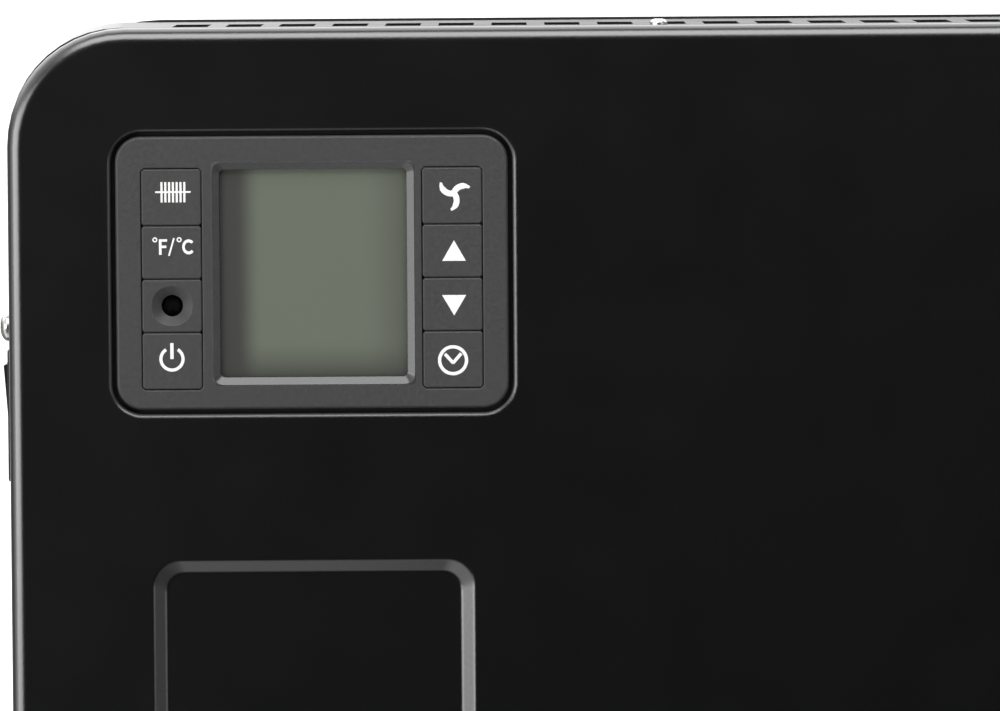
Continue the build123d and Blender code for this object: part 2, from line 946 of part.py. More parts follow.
with BuildPart() as control_board:
    faceted(
        module_plane(board_front),
        inner_w - 2 * board_gap,
        inner_h - 2 * board_gap,
        inner_r - board_gap,
        board_t,
    )
    for x, z in boss_places:
        pin(
            module_plane(board_front - overrun, x, z),
            board_screw[2] + 2 * hole_fit,
            2 * overrun,
            mode=Mode.SUBTRACT,
        )
finish(control_board, "control_board")


def rear_facing(depth, x, z):
    """Plane that looks to the rear, for screws driven from behind."""
    return Plane(origin=(x, front_y + depth, z), x_dir=(-1, 0, 0), z_dir=(0, 1, 0))


with BuildPart() as board_screws:
    for x, z in boss_places:
        screw(rear_facing(board_front + board_t, module_x + x, module_z + z), board_screw)
finish(board_screws, "board_screws")

# Rear housing of the control module
housing_front = flange_front + module_flange_t
housing_w = bezel_w + 2 * (board_gap + housing_t)
housing_h = bezel_h + 2 * (board_gap + housing_t)
housing_r = bezel_r + board_gap + housing_t
with BuildPart() as control_housing:
    housing_d = housing_end - housing_front
    faceted(module_plane(housing_front), housing_w, housing_h, housing_r, housing_d)
    chamfer(control_housing.edges().group_by(Axis.Y)[-1], clip_share * housing_t)
    for x, z in stud_places:
        pin(module_plane(housing_front, x, z), 2 * ear_r, housing_t)
    faceted(
        module_plane(housing_front),
        housing_w - 2 * housing_t,
        housing_h - 2 * housing_t,
        housing_r - housing_t,
        housing_d - housing_t,
        mode=Mode.SUBTRACT,
    )
    for x, z in stud_places:
        pin(
            module_plane(housing_front - overrun, x, z),
            module_screw[2] + 2 * hole_fit,
            2 * overrun + housing_t,
            mode=Mode.SUBTRACT,
        )
finish(control_housing, "control_housing")

with BuildPart() as module_screws:
    for x, z in stud_places:
        screw(rear_facing(housing_front + housing_t, module_x + x, module_z + z), module_screw)
finish(module_screws, "module_screws")

# Side mains switch
switch_z = top_z - switch_from_top
rocker_reach = math.hypot(rocker_len / 2, rocker_pivot_depth + rocker_proud)
opening_len = 2 * (rocker_reach + free_fit)
opening_w = rocker_w + 2 * free_fit
pivot_x = rocker_pivot_depth - side_x


def switch_plane(depth_in):
    """Plane across the side switch, a depth inside the casing's left face, looking out."""
    return Plane(
        origin=(depth_in - side_x, front_y + switch_depth, switch_z),
        x_dir=(0, -1, 0),
        z_dir=(-1, 0, 0),
    )


def pivot_plane(offset, tilt=0.0):
    """Plane across the rocker's pivot, looking to the front, its top turned outwards."""
    angle = math.radians(tilt)
    return Plane(
        origin=(pivot_x, front_y + switch_depth + offset, switch_z),
        x_dir=(math.cos(angle), 0, math.sin(angle)),
        z_dir=(0, -1, 0),
    )


with BuildPart() as switch_frame:
    block(switch_plane(-switch_flange_t), switch_flange_w, switch_flange_len, switch_flange_t)
    chamfer(switch_frame.edges().filter_by(Axis.X), clip_share * switch_flange_t)
    block(switch_plane(0), switch_body_w, switch_body_len, switch_body_d)
    block(
        switch_plane(-switch_flange_t),
        opening_w,
        opening_len,
        switch_flange_t + rocker_pivot_depth + rocker_root + 2 * free_fit,
        mode=Mode.SUBTRACT,
    )
    rod(pivot_plane(-switch_body_w / 2), pivot_d, switch_body_w)
finish(switch_frame, "switch_frame")

with BuildPart() as side_rocker:
    face_x = -rocker_pivot_depth - rocker_proud
    nose = polar(rocker_reach, 90 + 2 * rocker_tilt)
    with BuildSketch(pivot_plane(-rocker_w / 2, rocker_tilt)) as profile:
        with BuildLine():
            Line((face_x, -rocker_len / 2), (face_x, rocker_len / 2))
            ThreePointArc((face_x, rocker_len / 2), nose, (0, rocker_reach))
            Polyline(
                (0, rocker_reach),
                (rocker_root, rocker_root_len / 2),
                (rocker_root, -rocker_root_len / 2),
                (0, -rocker_reach),
            )
            ThreePointArc((0, -rocker_reach), (nose[0], -nose[1]), (face_x, -rocker_len / 2))
        make_face()
    extrude(profile.sketch, amount=-rocker_w)
    rod(pivot_plane(-switch_body_w), pivot_d + 2 * pivot_fit, 2 * switch_body_w, mode=Mode.SUBTRACT)
finish(side_rocker, "side_rocker")

with BuildPart() as switch_terminals:
    for z in (-switch_body_len / 4, 0, switch_body_len / 4):
        place = Plane(
            origin=(switch_body_d - side_x + terminal_len, front_y + switch_depth, switch_z + z),
            x_dir=(0, 1, 0),
            z_dir=(1, 0, 0),
        )
        block(place, terminal_w, terminal_t, terminal_len)
finish(switch_terminals, "switch_terminals")

# Dividers between the switch compartment, the hot duct and the right end
divider_h = body_h - 2 * divider_end_gap
divider_depth = body_d - back_t - divider_front_depth
element_zs = [bottom_z + z for z in element_z]


def divider(x, hand):
    """Vertical channel of sheet with flanges turned away from the hot duct."""
    middle = divider_front_depth + divider_depth / 2
    block(side_plane(x + divider_t / 2, middle, mid_z), divider_depth, divider_h, divider_t)
    flange_x = x + hand * (divider_flange / 2)
    for depth in (divider_front_depth, body_d - back_t - divider_t):
        block(front_plane(depth, flange_x, mid_z), divider_flange, divider_h, divider_t)
    for z in element_zs:
        pin(
            side_plane(x + divider_t, body_d / 2, z),
            insulator_d + 2 * fit,
            2 * divider_t,
            mode=Mode.SUBTRACT,
            sides=round_sides,
        )


with BuildPart() as left_divider:
    divider(left_divider_x, 1)
finish(left_divider, "left_divider")

with BuildPart() as right_divider:
    divider(right_divider_x, -1)
finish(right_divider, "right_divider")

with BuildPart() as heat_shield:
    duct_x = (left_divider_x + right_divider_x) / 2
    shield_w = right_divider_x - left_divider_x - divider_t
    shield_z = bottom_z + shield_from_bottom + shield_h / 2
    block(front_plane(divider_front_depth - shield_t, duct_x, shield_z), shield_w, shield_h, shield_t)
    for edge in (-1, 1):
        hem_z = shield_z + edge * (shield_h - shield_t) / 2
        hem_w = shield_w - 2 * divider_flange - 2 * fit
        block(front_plane(divider_front_depth, duct_x, hem_z), hem_w, shield_t, divider_flange / 2)
finish(heat_shield, "heat_shield")

# Heating elements: finned extrusions on steel tubes, held in ceramic bushes
element_start = left_divider_x + element_end_gap
element_end = right_divider_x - element_end_gap
element_len = element_end - element_start
saw_reach = element_arm_len + overrun
saw_stop = element_hub_d / 2 + element_arm_t

with BuildPart() as element_fins:
    for z in element_zs:
        with BuildSketch(side_plane(element_end, body_d / 2, z)) as fin_profile:
            RegularPolygon(element_hub_d / 2, element_arms)
            with PolarLocations(0, element_arms, start_angle=180 / element_arms):
                Rectangle(element_arm_len, element_arm_t, align=(Align.MIN, Align.CENTER))
            RegularPolygon(tube_d / 2 + fit / 2, round_sides, mode=Mode.SUBTRACT)
        extrude(fin_profile.sketch, amount=-element_len)
        for i in range(1, element_pieces):
            cut_x = element_start + (i * element_len + element_cut_w) / element_pieces
            with BuildSketch(side_plane(cut_x, body_d / 2, z)) as saw_cut:
                RegularPolygon(saw_reach, element_arms)
                RegularPolygon(saw_stop, element_arms, mode=Mode.SUBTRACT)
            extrude(saw_cut.sketch, amount=-element_cut_w, mode=Mode.SUBTRACT)
finish(element_fins, "element_fins")

with BuildPart() as element_tubes:
    tube_len = right_divider_x - left_divider_x + 2 * tube_out
    for z in element_zs:
        place = side_plane(right_divider_x + tube_out, body_d / 2, z)
        pin(place, tube_d, tube_len, sides=round_sides)
finish(element_tubes, "element_tubes")

with BuildPart() as element_insulators:
    for x, hand in ((left_divider_x, -1), (right_divider_x, 1)):
        for z in element_zs:
            outer_face = x + hand * (divider_t / 2)
            flange_end = max(outer_face, outer_face + hand * insulator_t)
            place = side_plane(flange_end, body_d / 2, z)
            pin(place, insulator_flange_d, insulator_t, sides=round_sides)
            neck_end = max(outer_face, outer_face - hand * (insulator_t + divider_t))
            place = side_plane(neck_end, body_d / 2, z)
            pin(place, insulator_d, insulator_t + divider_t, sides=round_sides)
            pin(
                side_plane(x + 2 * insulator_t, body_d / 2, z),
                tube_d + fit,
                4 * insulator_t,
                mode=Mode.SUBTRACT,
                sides=round_sides,
            )
finish(element_insulators, "element_insulators")

with BuildPart() as thermal_cutout:
    cutout_z = bottom_z + cutout_from_bottom
    wall_x = left_divider_x + divider_t / 2
    block(
        side_plane(wall_x + cutout_plate_t, body_d / 2, cutout_z),
        cutout_disc_d,
        cutout_plate_len,
        cutout_plate_t,
    )
    place = side_plane(wall_x + cutout_disc_h, body_d / 2, cutout_z)
    pin(place, cutout_disc_d, cutout_disc_h, sides=round_sides)
finish(thermal_cutout, "thermal_cutout")

# Crossflow fan
fan_centre_z = bottom_z + fan_z
fan_depth = body_d / 2 + fan_y
rotor_start = fan_x - rotor_len / 2
rotor_end = fan_x + rotor_len / 2
plate_left = rotor_start - scroll_end_gap
plate_right = rotor_end + scroll_end_gap
motor_start = plate_right + scroll_t + motor_gap
scroll_r = rotor_d / 2 + scroll_gap


def fan_plane(x):
    """Plane across the fan's shaft, with local x to the rear and local y up."""
    return side_plane(x, fan_depth, fan_centre_z)


def blade(angle):
    """One blade that leans forward, drawn as a flat strip between the rotor's two radii."""
    outer = rotor_d / 2 - blade_t
    inner = rotor_d / 2 * blade_inner_share
    tip_angle = angle + blade_sweep
    Polygon(
        polar(inner, angle),
        polar(outer, tip_angle),
        polar(outer, tip_angle + math.degrees(blade_t / outer)),
        polar(inner, angle + math.degrees(blade_t / inner)),
        align=None,
    )


with BuildPart() as fan_rotor:
    with BuildSketch(fan_plane(rotor_end)) as blades:
        for i in range(blade_count):
            blade(i * 360 / blade_count)
    extrude(blades.sketch, amount=-rotor_len)
    for x in (rotor_end, fan_x + disc_t / 2, rotor_start + disc_t):
        pin(fan_plane(x), rotor_d, disc_t, sides=blade_count)
    shaft_start = plate_left - bearing_len
    shaft_end = motor_start + motor_len + motor_gap / 2
    rod(fan_plane(rotor_start), shaft_d, rotor_start - shaft_start)
    pin(fan_plane(shaft_end), shaft_d, shaft_end - rotor_start, sides=round_sides)
    place = fan_plane(motor_start + motor_len)
    pin(place, motor_bore_d - 2 * magnet_fit, motor_len, sides=blade_count)
finish(fan_rotor, "fan_rotor")

with BuildPart() as fan_bearing:
    pin(fan_plane(plate_left + scroll_t), bearing_d, bearing_len, sides=round_sides)
    rod(
        fan_plane(plate_left + overrun),
        shaft_d + 2 * bearing_fit,
        bearing_len + 2 * overrun,
        mode=Mode.SUBTRACT,
    )
finish(fan_bearing, "fan_bearing")


def bent_strip(arc, growth, bends):
    """Sheet bent round the rotor between two angles, its radius growing along the way."""
    start, end = arc
    steps = [i / bends for i in range(bends + 1)]
    inside = [polar(scroll_r + growth * t, start + (end - start) * t) for t in steps]
    outside = [polar(scroll_r + scroll_t + growth * t, start + (end - start) * t) for t in steps]
    Polygon(*inside, *reversed(outside), align=None)


plate_w = plate_front + plate_rear
plate_mid = (plate_rear - plate_front) / 2
plate_bottom = fan_centre_z - inner_floor_z
with BuildPart() as fan_scroll:
    for x, hand in ((plate_left + scroll_t, -1), (plate_right + scroll_t, 1)):
        plate_z = (plate_top - plate_bottom) / 2
        with BuildSketch(fan_plane(x)) as plate:
            with Locations((plate_mid, plate_z)):
                Rectangle(plate_w, plate_top + plate_bottom)
            hole_r = (bearing_d + fit) / 2 if hand < 0 else shaft_d
            RegularPolygon(hole_r, round_sides, mode=Mode.SUBTRACT)
        extrude(plate.sketch, amount=-scroll_t)
        foot_mid = x - scroll_t / 2 + hand * plate_foot / 2
        with BuildSketch(Plane.XY.offset(inner_floor_z)) as plate_base:
            with Locations((foot_mid, front_y + fan_depth + plate_mid)):
                Rectangle(plate_foot, plate_w)
        extrude(plate_base.sketch, amount=scroll_t)
    with BuildSketch(fan_plane(plate_right + scroll_t / 2)) as wall:
        bent_strip(scroll_arc, scroll_growth, scroll_bends)
        bent_strip(tongue_arc, 0, tongue_bends)
    extrude(wall.sketch, amount=-(plate_right - plate_left))
finish(fan_scroll, "fan_scroll")

stack_mid = motor_w / 2 - motor_bore_d / 2 - motor_leg
with BuildPart() as fan_motor:
    with BuildSketch(fan_plane(motor_start + motor_len)) as stack:
        with Locations((stack_mid, 0)):
            Rectangle(motor_w, motor_h)
        RegularPolygon(motor_bore_d / 2, blade_count, mode=Mode.SUBTRACT)
        window_start = motor_bore_d / 2 + motor_leg / 2
        window_end = stack_mid + motor_w / 2 - motor_leg
        with Locations(((window_start + window_end) / 2, 0)):
            Rectangle(window_end - window_start, motor_h - 2 * motor_leg, mode=Mode.SUBTRACT)
    extrude(stack.sketch, amount=-motor_len)
finish(fan_motor, "fan_motor")

with BuildPart() as fan_coil:
    leg_mid = window_end + motor_leg / 2
    coil_h = motor_h - 2 * motor_leg - 2 * fit
    coil_w = motor_leg + 2 * coil_wall
    coil_y = front_y + fan_depth + leg_mid
    coil_base = Plane(origin=(motor_start + motor_len / 2, coil_y, fan_centre_z - coil_h / 2))
    with BuildSketch(coil_base) as winding:
        Rectangle(motor_len + 2 * coil_over, coil_w)
        chamfer(winding.vertices(), clip_share * coil_wall)
        Rectangle(motor_len + 2 * fit, motor_leg + 2 * fit, mode=Mode.SUBTRACT)
    extrude(winding.sketch, amount=coil_h)
finish(fan_coil, "fan_coil")

with BuildPart() as motor_posts:
    for hand in (-1, 1):
        post_z = fan_centre_z + hand * motor_h * post_share
        place = side_plane(motor_start, fan_depth + stack_mid / 2, post_z)
        pin(place, post_d, motor_start - plate_right - scroll_t)
finish(motor_posts, "motor_posts")

# Left compartment: power board, relays, terminal block, inlet gland, tip-over switch, sensor
board_back = body_d - back_t - spacer_h
spacer_places = [
    (x, z)
    for x in (spacer_inset - power_board_w / 2, power_board_w / 2 - spacer_inset)
    for z in (spacer_inset - power_board_h / 2, power_board_h / 2 - spacer_inset)
]
power_pos_z = bottom_z + power_board_z
with BuildPart() as power_board:
    block(
        front_plane(board_back - board_t, compartment_x, power_pos_z),
        power_board_w,
        power_board_h,
        board_t,
    )
finish(power_board, "power_board")

with BuildPart() as board_spacers:
    for x, z in spacer_places:
        pin(front_plane(board_back, compartment_x + x, power_pos_z + z), spacer_d, spacer_h)
finish(board_spacers, "board_spacers")

with BuildPart() as relays:
    for hand in (-1, 1):
        block(
            front_plane(
                board_back - board_t - relay_d,
                compartment_x + hand * relay_spacing / 2,
                power_pos_z,
            ),
            relay_w,
            relay_h,
            relay_d,
        )
finish(relays, "relays")

with BuildPart() as terminal_block:
    block_front = body_d - back_t - terminal_block_d
    place_z = bottom_z + terminal_block_z
    block(
        front_plane(block_front, compartment_x, place_z),
        terminal_block_w,
        terminal_block_h,
        terminal_block_d,
    )
finish(terminal_block, "terminal_block")

with BuildPart() as cable_gland:
    outer_end = rear_facing(body_d + gland_flange_t, gland_x, gland_pos_z)
    pin(outer_end, gland_flange_d, gland_flange_t, sides=gland_sides)
    chamfer(cable_gland.edges().group_by(Axis.Y)[-1], gland_flange_t / 3)
    pin(rear_facing(body_d, gland_x, gland_pos_z), gland_d, gland_in, sides=gland_sides)
    pin(
        outer_end,
        gland_bore_d,
        gland_flange_t + gland_in,
        mode=Mode.SUBTRACT,
        sides=gland_sides,
    )
finish(cable_gland, "cable_gland")

with BuildPart() as tip_switch:
    with BuildSketch(Plane.XY.offset(inner_floor_z)) as tip_outline:
        with Locations((compartment_x - tip_w, 0)):
            Rectangle(tip_w, tip_d)
        chamfer(tip_outline.vertices(), clip_share * spacer_d / 2)
    extrude(tip_outline.sketch, amount=tip_h)
finish(tip_switch, "tip_switch")

with BuildPart() as room_sensor:
    with BuildSketch(Plane.XY.offset(inner_floor_z)) as sensor_outline:
        with Locations((compartment_x + sensor_base, 0)):
            Rectangle(sensor_base, sensor_base)
    extrude(sensor_outline.sketch, amount=sensor_base_t)
    with BuildSketch(Plane.XY.offset(inner_floor_z)) as sensor_stem:
        with Locations((compartment_x + sensor_base, 0)):
            RegularPolygon(sensor_d / 2, small_sides)
    extrude(sensor_stem.sketch, amount=sensor_h)
    chamfer(room_sensor.edges().group_by(Axis.Z)[-1], sensor_d / 4)
finish(room_sensor, "room_sensor")
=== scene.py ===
import math

import bmesh
import bpy
from mathutils import Matrix, Vector


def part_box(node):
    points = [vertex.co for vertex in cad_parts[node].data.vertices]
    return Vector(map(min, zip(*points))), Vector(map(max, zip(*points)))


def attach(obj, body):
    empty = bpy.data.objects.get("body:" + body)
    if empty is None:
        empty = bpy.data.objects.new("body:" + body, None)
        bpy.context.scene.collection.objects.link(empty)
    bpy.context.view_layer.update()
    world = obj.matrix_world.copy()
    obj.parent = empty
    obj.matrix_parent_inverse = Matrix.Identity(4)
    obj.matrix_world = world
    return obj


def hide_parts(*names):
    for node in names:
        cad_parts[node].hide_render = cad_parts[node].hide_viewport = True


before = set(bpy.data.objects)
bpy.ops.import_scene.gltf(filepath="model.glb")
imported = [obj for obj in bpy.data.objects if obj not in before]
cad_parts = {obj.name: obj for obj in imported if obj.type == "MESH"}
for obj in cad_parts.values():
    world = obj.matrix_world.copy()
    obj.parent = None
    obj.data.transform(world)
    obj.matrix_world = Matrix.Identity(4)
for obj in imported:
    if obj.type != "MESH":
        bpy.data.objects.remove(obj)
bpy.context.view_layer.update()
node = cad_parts
mm = 0.001

# Front panel: a pressed steel tray with satin black powder paint.
# The sheet is drawn in round the control module and down into the long recess,
# and four screws at the sides and four at the top and bottom hold it to the casing.
panel_dark = (0.0006, 0.0006, 0.000618)
panel_light = (0.0008, 0.0008, 0.000824)
panel_roughness = (0.235, 0.25)
panel_peel_depth = 0.012 * mm
panel_edge_r = 0.8 * mm
paint_ior = 1.75
noise_low, noise_high = 0.3, 0.7


def new_finish(name):
    """An empty node material with its shader; returns material, nodes, links and shader."""
    material = bpy.data.materials.new(name)
    material.use_nodes = True
    nodes = material.node_tree.nodes
    links = material.node_tree.links
    return material, nodes, links, nodes["Principled BSDF"]


def object_point(nodes):
    """The point of the piece itself, in metres."""
    return nodes.new("ShaderNodeTexCoord").outputs["Object"]


def cloudy(nodes, links, point, scale, detail=3.0):
    """Soft noise over the surface, from 0 to 1."""
    noise = nodes.new("ShaderNodeTexNoise")
    noise.inputs["Scale"].default_value = scale
    noise.inputs["Detail"].default_value = detail
    links.new(point, noise.inputs["Vector"])
    return noise.outputs["Fac"]


def spread(nodes, links, value, low, high, start=noise_low, end=noise_high):
    """Takes a value from start..end, a noise's usual range, to low..high."""
    remap = nodes.new("ShaderNodeMapRange")
    remap.inputs["From Min"].default_value = start
    remap.inputs["From Max"].default_value = end
    remap.inputs["To Min"].default_value = low
    remap.inputs["To Max"].default_value = high
    links.new(value, remap.inputs["Value"])
    return remap.outputs["Result"]


def two_tones(nodes, links, value, dark, light):
    """Colour that goes from a dark tone to a light one with a noise value."""
    ramp = nodes.new("ShaderNodeValToRGB")
    ramp.color_ramp.elements[0].position = noise_low
    ramp.color_ramp.elements[0].color = (*dark, 1)
    ramp.color_ramp.elements[1].position = noise_high
    ramp.color_ramp.elements[1].color = (*light, 1)
    links.new(value, ramp.inputs["Fac"])
    return ramp.outputs["Color"]


def relief(nodes, links, shader, value, depth, edge_r=0.0):
    """Bump of a given depth in metres, over edges that are eased to a small radius."""
    bump = nodes.new("ShaderNodeBump")
    bump.inputs["Distance"].default_value = depth
    links.new(value, bump.inputs["Height"])
    if edge_r:
        eased = nodes.new("ShaderNodeBevel")
        eased.samples = 6
        eased.inputs["Radius"].default_value = edge_r
        links.new(eased.outputs["Normal"], bump.inputs["Normal"])
    links.new(bump.outputs["Normal"], shader.inputs["Normal"])


def coated_sheet(name, dark, light, roughness, peel_scale, peel_depth, ior=1.5, edge_r=0.0):
    """Powder-painted sheet: near-even colour, slight orange peel and a satin shine."""
    material, nodes, links, shader = new_finish(name)
    point = object_point(nodes)
    patches = cloudy(nodes, links, point, scale=14.0)
    links.new(two_tones(nodes, links, patches, dark, light), shader.inputs["Base Color"])
    sheen_patches = cloudy(nodes, links, point, scale=55.0, detail=5.0)
    links.new(spread(nodes, links, sheen_patches, *roughness), shader.inputs["Roughness"])
    peel = cloudy(nodes, links, point, peel_scale, detail=2.0)
    relief(nodes, links, shader, peel, peel_depth, edge_r)
    shader.inputs["IOR"].default_value = ior
    return material


def wear(piece, material):
    """Puts one material on every face of a piece."""
    piece.data.materials.clear()
    piece.data.materials.append(material)


panel_paint = coated_sheet(
    "panel_paint", panel_dark, panel_light, panel_roughness,
    peel_scale=900.0, peel_depth=panel_peel_depth, ior=paint_ior, edge_r=panel_edge_r,
)
wear(node["front_panel"], panel_paint)

# Casing: one sheet-metal band wrapped round the heater, painted like the panel, with
# punched outlet slots on top and intake slots below. Its bent corners are a little rounder
# at the front, where they pass into the panel's.
casing_dark = (0.0046, 0.0046, 0.004738)
casing_light = (0.00575, 0.00575, 0.005888)
casing_roughness = (0.24, 0.30)
casing_peel_depth = 0.014 * mm
casing_corner_r = 26.0 * mm
casing_front_r = 28.2 * mm
casing_front_y = -25.0 * mm
outer_wall = 1.2 * mm
same_place = 0.001 * mm


def wider_corners(name, cad_name, old_r, new_r, until_y=math.inf):
    """A CAD sheet again, its outer wall's corners on a larger radius up to a depth."""
    low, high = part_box(cad_name)
    piece = bpy.data.objects.new(name, node[cad_name].data.copy())
    bpy.context.scene.collection.objects.link(piece)
    for vert in piece.data.vertices:
        x, y, z = vert.co
        if y > until_y:
            continue
        upper = z > (low.z + high.z) / 2
        across = old_r - (high.x - abs(x))
        along = old_r - (high.z - z if upper else z - low.z)
        reach = math.hypot(across, along)
        if min(across, along) < -same_place or reach < old_r - outer_wall:
            continue
        grown = (reach + new_r - old_r) / reach
        vert.co.x = math.copysign(high.x - new_r + across * grown, x)
        vert.co.z = high.z - new_r + along * grown if upper else low.z + new_r - along * grown
    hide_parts(cad_name)
    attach(piece, "heater")
    return piece


casing_paint = coated_sheet(
    "casing_paint", casing_dark, casing_light, casing_roughness,
    peel_scale=850.0, peel_depth=casing_peel_depth, ior=paint_ior,
)
casing_sheet = wider_corners("casing_sheet", "casing", casing_corner_r, casing_front_r, casing_front_y)
wear(casing_sheet, casing_paint)

# Back panel: thin pressed sheet with a shallow raised field and intake slots, in the same
# paint but a little rougher, screwed on from behind. Its corners are cut rounder than the
# casing's, so its rim shows only along the straight edges.
back_dark = (0.0060, 0.0060, 0.0062)
back_light = (0.0078, 0.0078, 0.0080)
back_roughness = (0.34, 0.44)
back_peel_depth = 0.020 * mm
back_proud = 0.6 * mm
back_corner_r = casing_corner_r + back_proud
back_visible_r = 36.0 * mm
back_paint = coated_sheet(
    "back_paint", back_dark, back_light, back_roughness,
    peel_scale=700.0, peel_depth=back_peel_depth,
)
back_sheet = wider_corners("back_sheet", "back_panel", back_corner_r, back_visible_r)
wear(back_sheet, back_paint)

# Side, tray and back screws: nickel-plated cross-recess pan heads that hold the shells.
# The domes are turned, the recess is struck in.
plate_light = (0.50, 0.50, 0.48)
plate_dark = (0.30, 0.30, 0.29)
plate_roughness = (0.20, 0.32)
plate_grain_depth = 0.010 * mm
cross_share = 0.37
cross_arm_share = 0.11
cross_depth_share = 0.42
cross_taper = 0.55
rim_share = 0.34
dome_steps = 8
dome_turn = math.radians(66.0)
head_sides = 48
screw_plate, nodes, links, shader = new_finish("screw_plate")
point = object_point(nodes)
plate_stain = cloudy(nodes, links, point, scale=1800.0, detail=6.0)
links.new(two_tones(nodes, links, plate_stain, plate_dark, plate_light), shader.inputs["Base Color"])
plate_haze = cloudy(nodes, links, point, scale=900.0, detail=4.0)
links.new(spread(nodes, links, plate_haze, *plate_roughness), shader.inputs["Roughness"])
relief(nodes, links, shader, cloudy(nodes, links, point, scale=2600.0), plate_grain_depth)
shader.inputs["Metallic"].default_value = 1.0


def drawn_on(bm, edges):
    """Extrudes a line of edges in place; returns the new vertices and the new edges."""
    made = bmesh.ops.extrude_edge_only(bm, edges=edges)["geom"]
    new_verts = [part for part in made if isinstance(part, bmesh.types.BMVert)]
    new_edges = [part for part in made if isinstance(part, bmesh.types.BMEdge)]
    return new_verts, new_edges


def edges_of(verts):
    """The edges that meet a group of vertices, each once."""
    return list({edge for vert in verts for edge in vert.link_edges})


def pan_head(bm, head_d, head_h, shank_d, length):
    """Adds one cross-recess screw to a bmesh: head above z = 0, shank below."""
    radius = head_d / 2
    rim_h = head_h * rim_share
    dome_h = (head_h - rim_h) / math.sin(dome_turn)
    rim = bmesh.ops.create_circle(bm, segments=head_sides, radius=radius)["verts"]
    loop = edges_of(rim)
    foot, foot_edges = drawn_on(bm, loop)
    bmesh.ops.translate(bm, verts=rim, vec=(0, 0, rim_h))
    under, under_edges = drawn_on(bm, foot_edges)
    shrink = shank_d / head_d
    bmesh.ops.scale(bm, verts=under, vec=(shrink, shrink, 1))
    tip, tip_edges = drawn_on(bm, under_edges)
    bmesh.ops.translate(bm, verts=tip, vec=(0, 0, -length))
    bmesh.ops.edgeloop_fill(bm, edges=tip_edges)
    made = list(rim) + foot + under + tip
    share = 1.0
    for step in range(1, dome_steps + 1):
        ring, loop = drawn_on(bm, loop)
        angle = dome_turn * step / dome_steps
        wanted = math.cos(angle)
        rise = dome_h * (math.sin(angle) - math.sin(angle - dome_turn / dome_steps))
        bmesh.ops.scale(bm, verts=ring, vec=(wanted / share, wanted / share, 1))
        bmesh.ops.translate(bm, verts=ring, vec=(0, 0, rise))
        share = wanted
        made += ring
    crown_z = ring[0].co.z
    cross = bmesh.ops.create_circle(bm, segments=head_sides, radius=radius * cross_share)["verts"]
    bmesh.ops.translate(bm, verts=cross, vec=(0, 0, crown_z))
    arm = radius * cross_arm_share
    for vert in cross:
        x, y = vert.co.x, vert.co.y
        if abs(x) > arm and abs(y) > arm:
            if abs(x) > abs(y):
                vert.co.y = math.copysign(arm, y)
            else:
                vert.co.x = math.copysign(arm, x)
    cross_edges = edges_of(cross)
    bmesh.ops.bridge_loops(bm, edges=loop + cross_edges)
    pit, pit_edges = drawn_on(bm, cross_edges)
    bmesh.ops.scale(bm, verts=pit, vec=(cross_taper, cross_taper, 1))
    bmesh.ops.translate(bm, verts=pit, vec=(0, 0, -head_h * cross_depth_share))
    bmesh.ops.edgeloop_fill(bm, edges=pit_edges)
    return made + list(cross) + pit


def to_piece(bm, name):
    """Makes a bmesh into an object at the origin."""
    bmesh.ops.recalc_face_normals(bm, faces=bm.faces)
    mesh = bpy.data.meshes.new(name)
    bm.to_mesh(mesh)
    bm.free()
    piece = bpy.data.objects.new(name, mesh)
    bpy.context.scene.collection.objects.link(piece)
    return piece


def soften(piece, angle=35.0):
    """Smooth shading with the hard edges kept."""
    for face in piece.data.polygons:
        face.use_smooth = True
    piece.data.set_sharp_from_angle(angle=math.radians(angle))


def screw_set(name, cad_name, size, seats):
    """Screws that stand for a CAD node; a seat is a place, the outward axis and a turn."""
    bm = bmesh.new()
    for place, outward, turn in seats:
        one = pan_head(bm, **size)
        aim = Vector(outward).to_track_quat("Z", "Y").to_matrix().to_4x4()
        matrix = Matrix.Translation(place) @ aim @ Matrix.Rotation(turn, 4, "Z")
        bmesh.ops.transform(bm, matrix=matrix, verts=one)
    piece = to_piece(bm, name)
    soften(piece)
    wear(piece, screw_plate)
    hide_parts(cad_name)
    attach(piece, "heater")


side_size = {"head_d": 7.3 * mm, "head_h": 2.75 * mm, "shank_d": 3.9 * mm, "length": 9.0 * mm}
side_turn_low, side_turn_high = 0.4, 0.9
panel_low, panel_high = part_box("front_panel")
side_low, side_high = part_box("side_screws")
side_r = side_size["head_d"] / 2
side_y = (side_low.y + side_high.y) / 2
side_seats = [
    ((edge, side_y, z), (hand, 0, 0), turn)
    for edge, hand in ((panel_low.x, -1), (panel_high.x, 1))
    for z, turn in ((side_low.z + side_r, side_turn_low), (side_high.z - side_r, side_turn_high))
]
screw_set("side_screw_heads", "side_screws", side_size, side_seats)

tray_size = {"head_d": 4.4 * mm, "head_h": 1.5 * mm, "shank_d": 2.8 * mm, "length": 6.0 * mm}
tray_seat_r = 2.6 * mm
tray_turn_left, tray_turn_right = 0.6, 0.2
tray_low, tray_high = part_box("tray_screws")
tray_y = (tray_low.y + tray_high.y) / 2
tray_left = tray_low.x + tray_seat_r
tray_right = tray_high.x - tray_seat_r
tray_seats = [
    ((x, tray_y, edge), (0, 0, up), turn)
    for edge, up in ((panel_low.z, -1), (panel_high.z, 1))
    for x, turn in ((tray_left, tray_turn_left), (tray_right, tray_turn_right))
]
screw_set("tray_screw_heads", "tray_screws", tray_size, tray_seats)

